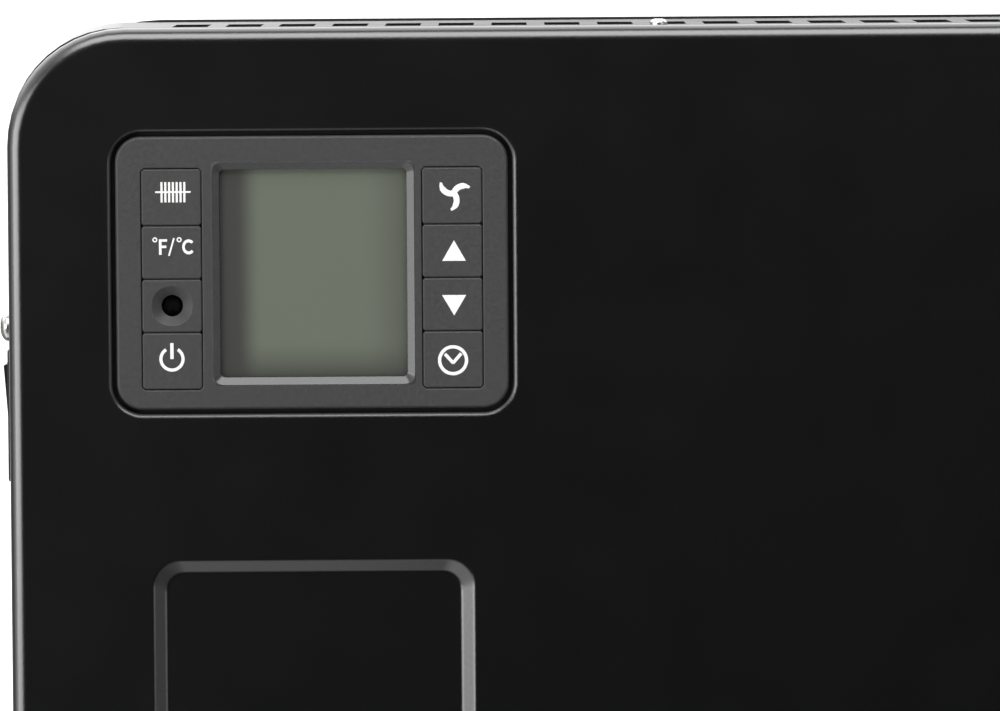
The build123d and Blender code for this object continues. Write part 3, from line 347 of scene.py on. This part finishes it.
back_size = {"head_d": 6.5 * mm, "head_h": 1.9 * mm, "shank_d": 3.2 * mm, "length": 6.5 * mm}
back_step_in = 72.0 * mm
back_turn_low, back_turn_high, back_turn_side = 0.3, 1.1, 0.8
back_low, back_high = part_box("back_screws")
back_r = back_size["head_d"] / 2
back_y = back_high.y - back_size["head_h"]
back_reach = back_high.x - back_r
back_inner = back_reach - back_step_in
back_middle_z = (back_low.z + back_high.z) / 2
back_seats = [
    ((hand * back_inner, back_y, z), (0, 1, 0), turn)
    for hand in (-1, 1)
    for z, turn in ((back_low.z + back_r, back_turn_low), (back_high.z - back_r, back_turn_high))
]
back_seats += [((hand * back_reach, back_y, back_middle_z), (0, 1, 0), back_turn_side) for hand in (-1, 1)]
screw_set("back_screw_heads", "back_screws", back_size, back_seats)

# Control bezel: a moulded grey frame with a fine spark texture on its face,
# screwed behind the panel's cut-out; its sloped rim leads down to the display.
# Its sides behind the face carry painted shade, near black, for the dark gap round it.
bezel_dark = (0.0132, 0.0134, 0.0139)
bezel_light = (0.0158, 0.0160, 0.0166)
bezel_roughness = (0.44, 0.54)
bezel_texture_depth = 0.014 * mm
bezel_half = Vector((49.15, 0.0, 34.25)) * mm
bezel_edge_r = 0.5 * mm
# Painted shade: near black on the bezel's sides, behind its face, for the shade in the gap.
gap_shade_black = (0.0008, 0.0008, 0.0008)
gap_shade_margin = 0.2 * mm
gap_shade_start, gap_shade_full = 0.4 * mm, 0.9 * mm
tone_share = 0.4
bezel_low, bezel_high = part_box("control_bezel")
bezel_middle = (bezel_low + bezel_high) / 2
bezel_face = Vector((bezel_middle.x, bezel_low.y, bezel_middle.z))


def moulded(name, dark, light, roughness, texture_scale, texture_depth, edge_r=0.0):
    """Moulded plastic with an eroded tool texture."""
    material, nodes, links, shader = new_finish(name)
    point = object_point(nodes)
    tone = cloudy(nodes, links, point, texture_scale * tone_share, detail=6.0)
    links.new(two_tones(nodes, links, tone, dark, light), shader.inputs["Base Color"])
    links.new(spread(nodes, links, tone, *roughness), shader.inputs["Roughness"])
    texture = cloudy(nodes, links, point, texture_scale, detail=4.0)
    relief(nodes, links, shader, texture, texture_depth, edge_r)
    return material


def worked_out(nodes, links, operation, first, second):
    """One step of arithmetic between two values, or a value and a number."""
    step = nodes.new("ShaderNodeMath")
    step.operation = operation
    for socket, value in zip(step.inputs, (first, second)):
        if isinstance(value, float):
            socket.default_value = value
        else:
            links.new(value, socket)
    return step.outputs["Value"]


def from_middle(nodes, links, middle):
    """Distances of a point from a middle, one value along each axis."""
    placed = nodes.new("ShaderNodeMapping")
    placed.inputs["Location"].default_value = -middle
    links.new(object_point(nodes), placed.inputs["Vector"])
    parts = nodes.new("ShaderNodeSeparateXYZ")
    links.new(placed.outputs["Vector"], parts.inputs["Vector"])
    return parts.outputs


def past_edge(nodes, links, away_value, half):
    """How far a point lies past an edge that is half a width from the middle."""
    distance = worked_out(nodes, links, "ABSOLUTE", away_value, 0.0)
    return worked_out(nodes, links, "SUBTRACT", distance, half)


def colour_mix(nodes, links, share, first, second):
    """Goes from the first colour to the second one; a colour is a socket or three numbers."""
    mix = nodes.new("ShaderNodeMix")
    mix.data_type = "RGBA"
    links.new(share, mix.inputs["Factor"])
    for socket, colour in zip((mix.inputs["A"], mix.inputs["B"]), (first, second)):
        if isinstance(colour, tuple):
            socket.default_value = (*colour, 1)
        else:
            links.new(colour, socket)
    return mix.outputs["Result"]


bezel_plastic = moulded(
    "bezel_plastic", bezel_dark, bezel_light, bezel_roughness,
    texture_scale=2400.0, texture_depth=bezel_texture_depth, edge_r=bezel_edge_r,
)
nodes = bezel_plastic.node_tree.nodes
links = bezel_plastic.node_tree.links
shader = nodes["Principled BSDF"]
# Painted shade in the gap: outside the face's edge and deeper than its front, the colour goes near black.
away = from_middle(nodes, links, bezel_face)
beside = past_edge(nodes, links, away["X"], bezel_half.x - gap_shade_margin)
above = past_edge(nodes, links, away["Z"], bezel_half.z - gap_shade_margin)
furthest = worked_out(nodes, links, "MAXIMUM", beside, above)
outside = worked_out(nodes, links, "GREATER_THAN", furthest, 0.0)
behind_face = spread(nodes, links, away["Y"], 0.0, 1.0, gap_shade_start, gap_shade_full)
painted_gap_shade = worked_out(nodes, links, "MULTIPLY", outside, behind_face)
face_tone = shader.inputs["Base Color"].links[0].from_socket
links.new(colour_mix(nodes, links, painted_gap_shade, face_tone, gap_shade_black), shader.inputs["Base Color"])
wear(node["control_bezel"], bezel_plastic)

# Window rim: the bezel's own slope round the display, polished in the tool, so that it
# mirrors the room where the face is dull. It drops shallowly, then straight down to the glass.
rim_outer = Vector((25.3, 0.0, 27.9)) * mm
rim_run = 1.85 * mm
rim_drop = 1.25 * mm
rim_floor = 2.68 * mm
rim_corner_r = 2.7 * mm
rim_lip_r = 1.2 * mm
rim_corner_steps = 6
rim_border = 0.15 * mm
rim_shift = Vector((0.3, -0.02, -0.25)) * mm
rim_roughness = (0.21, 0.24)
rim_texture_depth = 0.002 * mm
rim_edge_r = 0.2 * mm
level_with_face = -0.999


def rounded_loop(bm, half, corner_r, y):
    """Edge loop of a rectangle with rounded corners that stands upright."""
    size = Matrix.Diagonal((half.x, half.z, 1, 1))
    plate = bmesh.ops.create_grid(bm, x_segments=1, y_segments=1, size=1.0, matrix=size)["verts"]
    faces = list({face for vert in plate for face in vert.link_faces})
    bmesh.ops.delete(bm, geom=faces, context="FACES_ONLY")
    made = bmesh.ops.bevel(
        bm, geom=plate, offset=corner_r, offset_type="OFFSET", affect="VERTICES",
        segments=rim_corner_steps, profile=0.5, material=-1, clamp_overlap=True,
    )["verts"]
    stand = Matrix.Translation((0, y, 0)) @ Matrix.Rotation(math.radians(90.0), 4, "X")
    bmesh.ops.transform(bm, matrix=stand, verts=made)
    return edges_of(made)


bm = bmesh.new()
border_half = rim_outer + Vector((rim_border, 0.0, rim_border))
lip_half = rim_outer - Vector((rim_run, 0.0, rim_run))
border = rounded_loop(bm, border_half, rim_lip_r, 0.0)
mouth = rounded_loop(bm, rim_outer, rim_corner_r, 0.0)
lip = rounded_loop(bm, lip_half, rim_lip_r, rim_drop)
floor_loop = rounded_loop(bm, lip_half, rim_lip_r, rim_floor)
bmesh.ops.bridge_loops(bm, edges=border + mouth)
bmesh.ops.bridge_loops(bm, edges=mouth + lip)
bmesh.ops.bridge_loops(bm, edges=lip + floor_loop)
bmesh.ops.bridge_loops(bm, edges=floor_loop + border)
bmesh.ops.translate(bm, verts=bm.verts, vec=bezel_face + rim_shift)
window_rim = to_piece(bm, "window_rim")
rim_polish = moulded(
    "rim_polish", bezel_dark, bezel_light, rim_roughness,
    texture_scale=500.0, texture_depth=rim_texture_depth, edge_r=rim_edge_r,
)
soften(window_rim, angle=30.0)
wear(window_rim, rim_polish)
window_rim.data.materials.append(bezel_plastic)
for face in window_rim.data.polygons:
    if face.normal.y < level_with_face:
        face.material_index = 1
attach(window_rim, "heater")

# Keys and the receiver's cap: moulded in the same grey, each sprung on its own switch.
# The eighth field is fixed and holds the funnel of the remote-control receiver.
key_dark = (0.0128, 0.0130, 0.0135)
key_light = (0.0154, 0.0156, 0.0161)
key_roughness = (0.46, 0.56)
key_texture_depth = 0.012 * mm
key_edge_r = 0.3 * mm
key_names = ("key_heat", "key_units", "key_power", "key_fan", "key_up", "key_down", "key_timer")
cap_grow_x = 0.38 * mm
cap_grow_z = 0.20 * mm
cap_grow_end = 0.34 * mm
cap_deep = 1.5 * mm
cap_corner_r = 0.45 * mm
cap_corner_steps = 3
column_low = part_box("key_power")[0].z
column_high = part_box("key_heat")[1].z
end_reach = 0.32 * mm
clip_least, clip_most = 30.0, 60.0
same_point = 0.002 * mm
front_to_back = 0.99
key_plastic = moulded(
    "key_plastic", key_dark, key_light, key_roughness,
    texture_scale=2600.0, texture_depth=key_texture_depth, edge_r=key_edge_r,
)


def upright_angle(edge):
    """Angle between an edge's two faces if the edge runs front to back, else 0."""
    first, second = edge.verts
    along = (second.co - first.co).normalized()
    if abs(along.y) < front_to_back or len(edge.link_faces) != 2:
        return 0.0
    return math.degrees(edge.calc_face_angle(0.0))


def moulded_cap(name, cad_name, body):
    """A key cap as moulded: its face grown to the real gap, corners and rim rounded."""
    low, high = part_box(cad_name)
    middle = (low + high) / 2
    cap_back = low.y + cap_deep
    bm = bmesh.new()
    bm.from_mesh(node[cad_name].data)
    bmesh.ops.remove_doubles(bm, verts=bm.verts, dist=same_point)
    bmesh.ops.dissolve_limit(bm, angle_limit=math.radians(1.0), verts=bm.verts, edges=bm.edges)
    for vert in bm.verts:
        if vert.co.y < cap_back:
            vert.co.x += math.copysign(cap_grow_x, vert.co.x - middle.x)
            at_end = min(vert.co.z - column_low, column_high - vert.co.z) < end_reach
            vert.co.z += math.copysign(cap_grow_end if at_end else cap_grow_z, vert.co.z - middle.z)
    corners = [
        edge for edge in bm.edges
        if clip_least < upright_angle(edge) < clip_most and edge.verts[0].co.y < cap_back
    ]
    bmesh.ops.bevel(
        bm, geom=corners, offset=cap_corner_r, offset_type="OFFSET", affect="EDGES",
        segments=cap_corner_steps, profile=0.5, material=-1, clamp_overlap=True,
    )
    piece = to_piece(bm, name)
    soften(piece, angle=25.0)
    wear(piece, key_plastic)
    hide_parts(cad_name)
    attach(piece, body)


for name in key_names:
    moulded_cap(name + "_cap", name, name)
moulded_cap("receiver_cap", "receiver_insert", "heater")

# Symbols: white ink, pad-printed on the key caps, a few hundredths of a millimetre thick.
# Each is made of flat strokes, drawn in quarters of a millimetre, and moves with its key.
ink_dark = (0.36, 0.36, 0.355)
ink_light = (0.42, 0.42, 0.415)
ink_grain_depth = 0.004 * mm
ink_rise = 0.03 * mm
ink_sink = 0.05 * mm
stroke_lift = 0.01 * mm
quarter = 0.25 * mm
upright = math.radians(90.0)
arc_step = 9.0
least_arc_steps = 8
printed_ink, nodes, links, shader = new_finish("printed_ink")
point = object_point(nodes)
ink_cover = cloudy(nodes, links, point, scale=3000.0, detail=4.0)
links.new(two_tones(nodes, links, ink_cover, ink_dark, ink_light), shader.inputs["Base Color"])
shader.inputs["Roughness"].default_value = 0.5
relief(nodes, links, shader, cloudy(nodes, links, point, scale=5000.0), ink_grain_depth)


def bar(bm, length, thick, place, turn=0.0, lift=0.0):
    """A straight stroke of the symbol; one that crosses another lies a little higher."""
    matrix = (
        Matrix.Translation((*place, lift))
        @ Matrix.Rotation(turn, 4, "Z")
        @ Matrix.Diagonal((length, thick, 1, 1))
    )
    bmesh.ops.create_grid(bm, x_segments=1, y_segments=1, size=0.5, matrix=matrix)


def arc(bm, radius, thick, place, start=0.0, sweep=360.0, stretch=1.0):
    """A curved stroke: an edge spun round a centre, stretched upwards if asked."""
    inner = bm.verts.new((radius - thick / 2, 0, 0))
    outer = bm.verts.new((radius + thick / 2, 0, 0))
    edge = bm.edges.new((inner, outer))
    turned = Matrix.Rotation(math.radians(start), 4, "Z")
    bmesh.ops.transform(bm, matrix=turned, verts=[inner, outer])
    known = set(bm.verts) - {inner, outer}
    bmesh.ops.spin(
        bm, geom=[inner, outer, edge], cent=(0, 0, 0), axis=(0, 0, 1), angle=math.radians(sweep),
        steps=max(least_arc_steps, int(sweep / arc_step)), use_merge=sweep >= 360.0,
    )
    mine = [vert for vert in bm.verts if vert not in known]
    shift = Matrix.Translation((*place, 0)) @ Matrix.Diagonal((1, stretch, 1, 1))
    bmesh.ops.transform(bm, matrix=shift, verts=mine)


def triangle(bm, width, height, turn=0.0):
    """A filled triangle that points up, or down when it is turned half round."""
    # Three points on a unit circle make one that is 1.5 high and as wide as the root of three.
    made = bmesh.ops.create_circle(bm, segments=3, radius=1.0, cap_ends=True)["verts"]
    bmesh.ops.rotate(bm, verts=made, cent=(0, 0, 0), matrix=Matrix.Rotation(turn, 3, "Z"))
    centre = Matrix.Translation((0, -0.25 * math.cos(turn), 0))
    size = Matrix.Diagonal((width / math.sqrt(3.0), height / 1.5, 1, 1))
    bmesh.ops.transform(bm, matrix=size @ centre, verts=made)


def print_on(bm, name, key, offset):
    """Gives a flat symbol its thickness and lays it on a key's face."""
    low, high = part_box(key)
    middle_x = (low.x + high.x) / 2 + offset[0]
    middle_z = (low.z + high.z) / 2 + offset[1]
    grown = bmesh.ops.extrude_face_region(bm, geom=list(bm.faces))["geom"]
    back = [part for part in grown if isinstance(part, bmesh.types.BMVert)]
    bmesh.ops.translate(bm, verts=back, vec=(0, 0, -(ink_rise + ink_sink)))
    on_face = Matrix.Translation((middle_x, low.y - ink_rise, middle_z))
    bmesh.ops.transform(bm, matrix=on_face @ Matrix.Rotation(upright, 4, "X"), verts=bm.verts)
    piece = to_piece(bm, name)
    wear(piece, printed_ink)
    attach(piece, key)


fin_count = 7
fin_pitch = 3.8 * quarter
fin_middle = (fin_count - 1) / 2
bm = bmesh.new()
for fin in range(fin_count):
    bar(bm, length=2.1 * quarter, thick=20.3 * quarter, place=((fin - fin_middle) * fin_pitch, 0))
bar(bm, length=35.3 * quarter, thick=1.7 * quarter, place=(0, 0.2 * quarter), lift=stroke_lift)
print_on(bm, "heat_symbol", "key_heat", offset=(2.0 * quarter, 5.3 * quarter))

degree_r = 1.9 * quarter
degree_thick = 1.25 * quarter
degree_z = 7.2 * quarter
slash_slope = math.radians(73.6)
bm = bmesh.new()
arc(bm, degree_r, degree_thick, place=(-18.7 * quarter, degree_z))
bar(bm, length=15.5 * quarter, thick=2.6 * quarter, place=(-13.4 * quarter, 0), turn=upright)
bar(bm, length=8.2 * quarter, thick=2.4 * quarter, place=(-10.6 * quarter, 6.55 * quarter), lift=stroke_lift)
bar(bm, length=7.4 * quarter, thick=2.4 * quarter, place=(-11.0 * quarter, 0.2 * quarter), lift=stroke_lift)
bar(bm, length=18.4 * quarter, thick=1.7 * quarter, place=(-2.2 * quarter, 0), turn=slash_slope)
arc(bm, degree_r, degree_thick, place=(5.6 * quarter, degree_z))
arc(bm, 5.15 * quarter, 2.5 * quarter, place=(15.0 * quarter, 0), start=42.0, sweep=276.0, stretch=1.18)
print_on(bm, "unit_letters", "key_units", offset=(2.2 * quarter, 5.7 * quarter))

bm = bmesh.new()
arc(bm, radius=11.1 * quarter, thick=3.1 * quarter, place=(0, -1.0 * quarter), start=122.0, sweep=296.0)
bar(bm, length=3.3 * quarter, thick=16.0 * quarter, place=(0, 7.0 * quarter))
print_on(bm, "power_symbol", "key_power", offset=(-0.5 * quarter, 3.1 * quarter))

fan_arms = 3
fan_first_turn = 69.0
arm_wide = 5.9 * quarter
arm_stride = 1.62 * quarter
arm_bend = math.radians(9.0)
arm_strides = 12
arm_tip_strides = 4
arm_tip_taper = 0.80


def fan_arm(bm, turn, lift):
    """One curved, tapering fan arm, drawn outwards from the hub."""
    made = [bm.verts.new((0, -arm_wide / 2, 0)), bm.verts.new((0, arm_wide / 2, 0))]
    front = [bm.edges.new(made)]
    for stride in range(arm_strides):
        verts, front = drawn_on(bm, front)
        middle = (verts[0].co + verts[1].co) / 2
        angle = -arm_bend * stride
        ahead = Vector((math.cos(angle), math.sin(angle), 0)) * arm_stride
        bmesh.ops.translate(bm, verts=verts, vec=ahead)
        bend = Matrix.Rotation(-arm_bend, 3, "Z")
        bmesh.ops.rotate(bm, verts=verts, cent=middle + ahead, matrix=bend)
        share = arm_tip_taper if stride >= arm_strides - arm_tip_strides else 1.0
        there = Matrix.Translation(middle + ahead)
        bmesh.ops.transform(bm, matrix=there @ Matrix.Scale(share, 4) @ there.inverted(), verts=verts)
        made += verts
    matrix = Matrix.Translation((0, 0, lift)) @ Matrix.Rotation(turn, 4, "Z")
    bmesh.ops.transform(bm, matrix=matrix, verts=made)


bm = bmesh.new()
for arm in range(fan_arms):
    fan_arm(bm, math.radians(fan_first_turn + 360.0 / fan_arms * arm), lift=arm * stroke_lift)
print_on(bm, "fan_symbol", "key_fan", offset=(1.9 * quarter, 2.4 * quarter))

bm = bmesh.new()
triangle(bm, width=23.7 * quarter, height=20.6 * quarter)
print_on(bm, "up_symbol", "key_up", offset=(1.7 * quarter, 0.2 * quarter))

bm = bmesh.new()
triangle(bm, width=24.2 * quarter, height=20.5 * quarter, turn=math.radians(180.0))
print_on(bm, "down_symbol", "key_down", offset=(1.5 * quarter, -1.0 * quarter))

hand_thick = 3.2 * quarter
left_hand_turn = math.radians(-48.0)
right_hand_turn = math.radians(49.0)
left_hand_place = (-3.9 * quarter, 1.7 * quarter)
right_hand_place = (4.0 * quarter, 1.9 * quarter)
bm = bmesh.new()
arc(bm, radius=13.5 * quarter, thick=3.3 * quarter, place=(0, 0))
bar(bm, 12.6 * quarter, hand_thick, left_hand_place, left_hand_turn)
bar(bm, 12.8 * quarter, hand_thick, right_hand_place, right_hand_turn, stroke_lift)
print_on(bm, "timer_symbol", "key_timer", offset=(0, -1.0 * quarter))

# Remote-control receiver: a small moulded lens of nearly black plastic that lets infrared
# light through. It stands on the control board, behind the funnel of the fourth cap.
dark_lens = moulded(
    "dark_lens", dark=(0.0015, 0.0012, 0.0015), light=(0.0025, 0.0020, 0.0024),
    roughness=(0.10, 0.16), texture_scale=900.0, texture_depth=0.004 * mm,
)
wear(node["ir_receiver"], dark_lens)

# Display: an unlit reflective liquid-crystal cell, grey-green behind a clear front film.
# It sits deep behind the sloped rim; the rim's shade on it is painted into its colour, darkest at the left
# and weaker at the right and the foot.
cell_shaded = (0.021, 0.021, 0.019)
cell_lit = (0.055, 0.063, 0.047)
cell_grain_depth = 0.003 * mm
shade_left = (-19.4 * mm, -13.0 * mm)
shade_right = (12.0 * mm, 24.0 * mm)
shade_foot = (-27.0 * mm, -17.0 * mm)
lit_at_right = 0.6
lit_at_foot = 0.25
cell_low, cell_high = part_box("lcd_glass")
lcd_cell, nodes, links, shader = new_finish("lcd_cell")
away = from_middle(nodes, links, (cell_low + cell_high) / 2)


def fade(nodes, links, value, span, low, high):
    """Smooth change from low to high over a span of distance or direction."""
    remap = nodes.new("ShaderNodeMapRange")
    remap.interpolation_type = "SMOOTHSTEP"
    for socket, number in zip(("From Min", "From Max", "To Min", "To Max"), (*span, low, high)):
        remap.inputs[socket].default_value = number
    links.new(value, remap.inputs["Value"])
    return remap.outputs["Result"]


# Painted shade of the rim: the colour falls to cell_shaded at the left edge, and partly at the right and the
# foot.
from_left = fade(nodes, links, away["X"], shade_left, 0.0, 1.0)
from_right = fade(nodes, links, away["X"], shade_right, 1.0, lit_at_right)
from_foot = fade(nodes, links, away["Z"], shade_foot, lit_at_foot, 1.0)
from_sides = worked_out(nodes, links, "MULTIPLY", from_left, from_right)
unshaded = worked_out(nodes, links, "MULTIPLY", from_sides, from_foot)
links.new(colour_mix(nodes, links, unshaded, cell_shaded, cell_lit), shader.inputs["Base Color"])
shader.inputs["Roughness"].default_value = 0.35
cell_grain = cloudy(nodes, links, object_point(nodes), scale=1500.0, detail=2.0)
relief(nodes, links, shader, cell_grain, cell_grain_depth)
wear(node["lcd_glass"], lcd_cell)

# Inner pieces: the display's white frame, the green laminate boards, black tact switches,
# relays and housings. They are moulded or routed, and the cord's gland alone shows, at the back.
black_plastic = moulded(
    "black_plastic", dark=(0.010, 0.010, 0.011), light=(0.014, 0.014, 0.015),
    roughness=(0.42, 0.56), texture_scale=1600.0, texture_depth=0.02 * mm,
)
white_plastic = moulded(
    "white_plastic", dark=(0.60, 0.59, 0.55), light=(0.68, 0.67, 0.63),
    roughness=(0.34, 0.46), texture_scale=700.0, texture_depth=0.01 * mm,
)
green_laminate = moulded(
    "green_laminate", dark=(0.012, 0.070, 0.028), light=(0.018, 0.095, 0.036),
    roughness=(0.22, 0.34), texture_scale=350.0, texture_depth=0.01 * mm,
)
for name in ("tact_switches", "control_housing", "relays", "cable_gland", "fan_bearing"):
    wear(node[name], black_plastic)
for name in ("lcd_frame", "board_spacers", "terminal_block", "tip_switch", "room_sensor"):
    wear(node[name], white_plastic)
for name in ("control_board", "power_board"):
    wear(node[name], green_laminate)

# Side mains switch: a rocker of moulded black plastic, glossier than its flanged frame,
# which sits in the casing's left side and carries the pivot that the rocker tips on.
rocker_plastic = moulded(
    "rocker_plastic", dark=(0.008, 0.008, 0.009), light=(0.011, 0.011, 0.012),
    roughness=(0.20, 0.30), texture_scale=1100.0, texture_depth=0.01 * mm,
)
wear(node["side_rocker"], rocker_plastic)
wear(node["switch_frame"], black_plastic)

# Feet: moulded black plastic with a coarser tool texture, screwed under the casing,
# each on two rubber pads.
foot_plastic = moulded(
    "foot_plastic", dark=(0.010, 0.010, 0.011), light=(0.015, 0.015, 0.016),
    roughness=(0.46, 0.60), texture_scale=900.0, texture_depth=0.05 * mm,
)
pad_rubber = moulded(
    "pad_rubber", dark=(0.018, 0.018, 0.018), light=(0.026, 0.026, 0.026),
    roughness=(0.70, 0.85), texture_scale=1200.0, texture_depth=0.05 * mm,
)
wear(node["left_foot"], foot_plastic)
wear(node["right_foot"], foot_plastic)
wear(node["foot_pads"], pad_rubber)

# Zinc-plated sheet and fasteners inside: dividers, scroll, nuts, clips, posts and terminals.
# They are pressed, bent or turned from steel and plated, and stay unpainted.
even_grain = (1.0, 1.0, 1.0)


def bare_metal(name, dark, light, roughness, grain_scale, grain_depth, brushed=even_grain):
    """Unpainted metal with a rolled or drawn grain along one axis."""
    material, nodes, links, shader = new_finish(name)
    stretched = nodes.new("ShaderNodeMapping")
    stretched.inputs["Scale"].default_value = brushed
    links.new(object_point(nodes), stretched.inputs["Vector"])
    grain = cloudy(nodes, links, stretched.outputs["Vector"], grain_scale, detail=5.0)
    links.new(two_tones(nodes, links, grain, dark, light), shader.inputs["Base Color"])
    links.new(spread(nodes, links, grain, *roughness), shader.inputs["Roughness"])
    relief(nodes, links, shader, grain, grain_depth)
    shader.inputs["Metallic"].default_value = 1.0
    return material


zinc_sheet = bare_metal(
    "zinc_sheet", dark=(0.36, 0.37, 0.37), light=(0.54, 0.55, 0.54),
    roughness=(0.34, 0.52), grain_scale=160.0, grain_depth=0.01 * mm,
)
for name in (
    "clip_nuts", "foot_screws", "foot_nuts", "board_screws", "module_screws", "switch_terminals",
    "left_divider", "right_divider", "fan_scroll", "motor_posts", "thermal_cutout",
):
    wear(node[name], zinc_sheet)

# Heat shield, elements and fan: aluminium sheet, and extruded fins on drawn steel tubes that
# ceramic bushes hold in the dividers. The rotor turns beside its laminated motor.
along_fins = (0.06, 1, 1)
along_tubes = (0.1, 1, 1)
across_stack = (1, 0.02, 0.02)
fin_aluminium = bare_metal(
    "fin_aluminium", dark=(0.46, 0.46, 0.47), light=(0.66, 0.66, 0.67),
    roughness=(0.26, 0.40), grain_scale=600.0, grain_depth=0.01 * mm, brushed=along_fins,
)
tube_steel = bare_metal(
    "tube_steel", dark=(0.20, 0.19, 0.18), light=(0.34, 0.33, 0.32),
    roughness=(0.30, 0.45), grain_scale=500.0, grain_depth=0.01 * mm, brushed=along_tubes,
)
stack_steel = bare_metal(
    "stack_steel", dark=(0.08, 0.08, 0.08), light=(0.20, 0.20, 0.20),
    roughness=(0.40, 0.60), grain_scale=2200.0, grain_depth=0.03 * mm, brushed=across_stack,
)
bush_ceramic = moulded(
    "bush_ceramic", dark=(0.66, 0.63, 0.56), light=(0.76, 0.73, 0.66),
    roughness=(0.55, 0.75), texture_scale=900.0, texture_depth=0.03 * mm,
)
coil_tape = moulded(
    "coil_tape", dark=(0.42, 0.26, 0.03), light=(0.55, 0.36, 0.05),
    roughness=(0.18, 0.30), texture_scale=300.0, texture_depth=0.02 * mm,
)
for name in ("heat_shield", "element_fins", "fan_rotor"):
    wear(node[name], fin_aluminium)
wear(node["element_tubes"], tube_steel)
wear(node["element_insulators"], bush_ceramic)
wear(node["fan_motor"], stack_steel)
wear(node["fan_coil"], coil_tape)

# Floor: a wide sweep of pale plain paper under the feet, no piece of the heater. Mirroring
# surfaces leave it out, so that the painted edges show the studio alone.
floor_half = 60.0
paper_dark = (0.86, 0.86, 0.86)
paper_light = (0.88, 0.88, 0.88)
bm = bmesh.new()
bmesh.ops.create_grid(bm, x_segments=1, y_segments=1, size=floor_half)
floor = to_piece(bm, "studio_floor")
floor_paper, nodes, links, shader = new_finish("floor_paper")
paper_clouds = cloudy(nodes, links, object_point(nodes), scale=3.0)
links.new(two_tones(nodes, links, paper_clouds, paper_dark, paper_light), shader.inputs["Base Color"])
shader.inputs["Roughness"].default_value = 0.9
wear(floor, floor_paper)
floor.visible_glossy = False

# Studio: a white sweep behind and a dark room on the camera's side, as brightness that
# changes with a ray's direction, and soft boxes above the camera, to its left and, weaker,
# to its right.
sweep_edge = (0.02, 0.18)
sweep_climb = (0.10, 0.50)
sweep_low, sweep_high = 0.35, 3.4
straight_behind = (0.85, 0.99)
straight_glow = 0.9
glow_side = (-0.10, 0.0)
glow_at_left = 1.5
room_depth = (-0.90, -0.35)
room_black = 0.02
room_width = (-0.75, 0.25)
room_left, room_right = 1.7, 0.42
floor_fall = (-0.95, -0.70)
floor_glow = 1.45
world = bpy.data.worlds.new("studio")
world.use_nodes = True
bpy.context.scene.world = world
nodes = world.node_tree.nodes
links = world.node_tree.links
axes = nodes.new("ShaderNodeSeparateXYZ")
links.new(nodes.new("ShaderNodeTexCoord").outputs["Generated"], axes.inputs["Vector"])
rightwards, backwards, upwards = axes.outputs

behind = fade(nodes, links, backwards, sweep_edge, 0.0, 1.0)
aloft = fade(nodes, links, upwards, sweep_climb, sweep_low, sweep_high)
glow = fade(nodes, links, backwards, straight_behind, 0.0, straight_glow)
glow_share = fade(nodes, links, rightwards, glow_side, glow_at_left, 0.0)
glow = worked_out(nodes, links, "MULTIPLY", glow, glow_share)
sweep_tone = worked_out(nodes, links, "ADD", aloft, glow)
sweep_light = worked_out(nodes, links, "MULTIPLY", behind, sweep_tone)

room_light = fade(nodes, links, backwards, room_depth, room_black, 1.0)
for share in (
    fade(nodes, links, rightwards, room_width, room_left, room_right),
    fade(nodes, links, backwards, sweep_edge, 1.0, 0.0),
    fade(nodes, links, upwards, floor_fall, floor_glow, 1.0),
):
    room_light = worked_out(nodes, links, "MULTIPLY", room_light, share)

sky_pick = nodes.new("ShaderNodeMix")
sky_pick.data_type = "FLOAT"
links.new(nodes.new("ShaderNodeLightPath").outputs["Is Camera Ray"], sky_pick.inputs["Factor"])
links.new(worked_out(nodes, links, "ADD", sweep_light, room_light), sky_pick.inputs["A"])
sky_pick.inputs["B"].default_value = 1.0
sky = nodes["Background"]
links.new(sky_pick.outputs["Result"], sky.inputs["Strength"])
sky.inputs["Color"].default_value = (1, 1, 1, 1)


def soft_box(name, place, aim, width, height, watts):
    """A rectangular soft light that the camera itself doesn't see."""
    lamp = bpy.data.lights.new(name, "AREA")
    lamp.shape = "RECTANGLE"
    lamp.size = width
    lamp.size_y = height
    lamp.energy = watts
    piece = bpy.data.objects.new(name, lamp)
    piece.location = place
    piece.rotation_euler = (Vector(aim) - Vector(place)).to_track_quat("-Z", "Y").to_euler()
    piece.visible_camera = False
    bpy.context.scene.collection.objects.link(piece)


seen_corner = (-0.2, 0.0, 0.40)
soft_box("high_box", (0.0, -1.40, 2.05), seen_corner, width=2.6, height=1.60, watts=85.0)
soft_box("left_box", (-2.12, -1.80, 0.50), seen_corner, width=2.08, height=1.20, watts=49.0)
soft_box("right_box", (1.9, -2.1, 0.40), seen_corner, width=1.6, height=1.00, watts=8.0)

# Camera: a little above the heater's upper edge, two metres in front, left of its middle.
# Its long lens frames the upper left corner alone, as the photograph does.
eye = (-0.2030, -2.04, 0.510)
tip_down = 3.56
lean = 0.385
camera = bpy.data.cameras.new("camera")
camera.lens = 288.0
camera.sensor_width = 36.0
camera_piece = bpy.data.objects.new("camera", camera)
camera_piece.location = eye
camera_piece.rotation_euler = (math.radians(90.0 - tip_down), math.radians(lean), 0.0)
bpy.context.scene.collection.objects.link(camera_piece)
bpy.context.scene.camera = camera_piece
bpy.context.scene.view_settings.view_transform = "Standard"
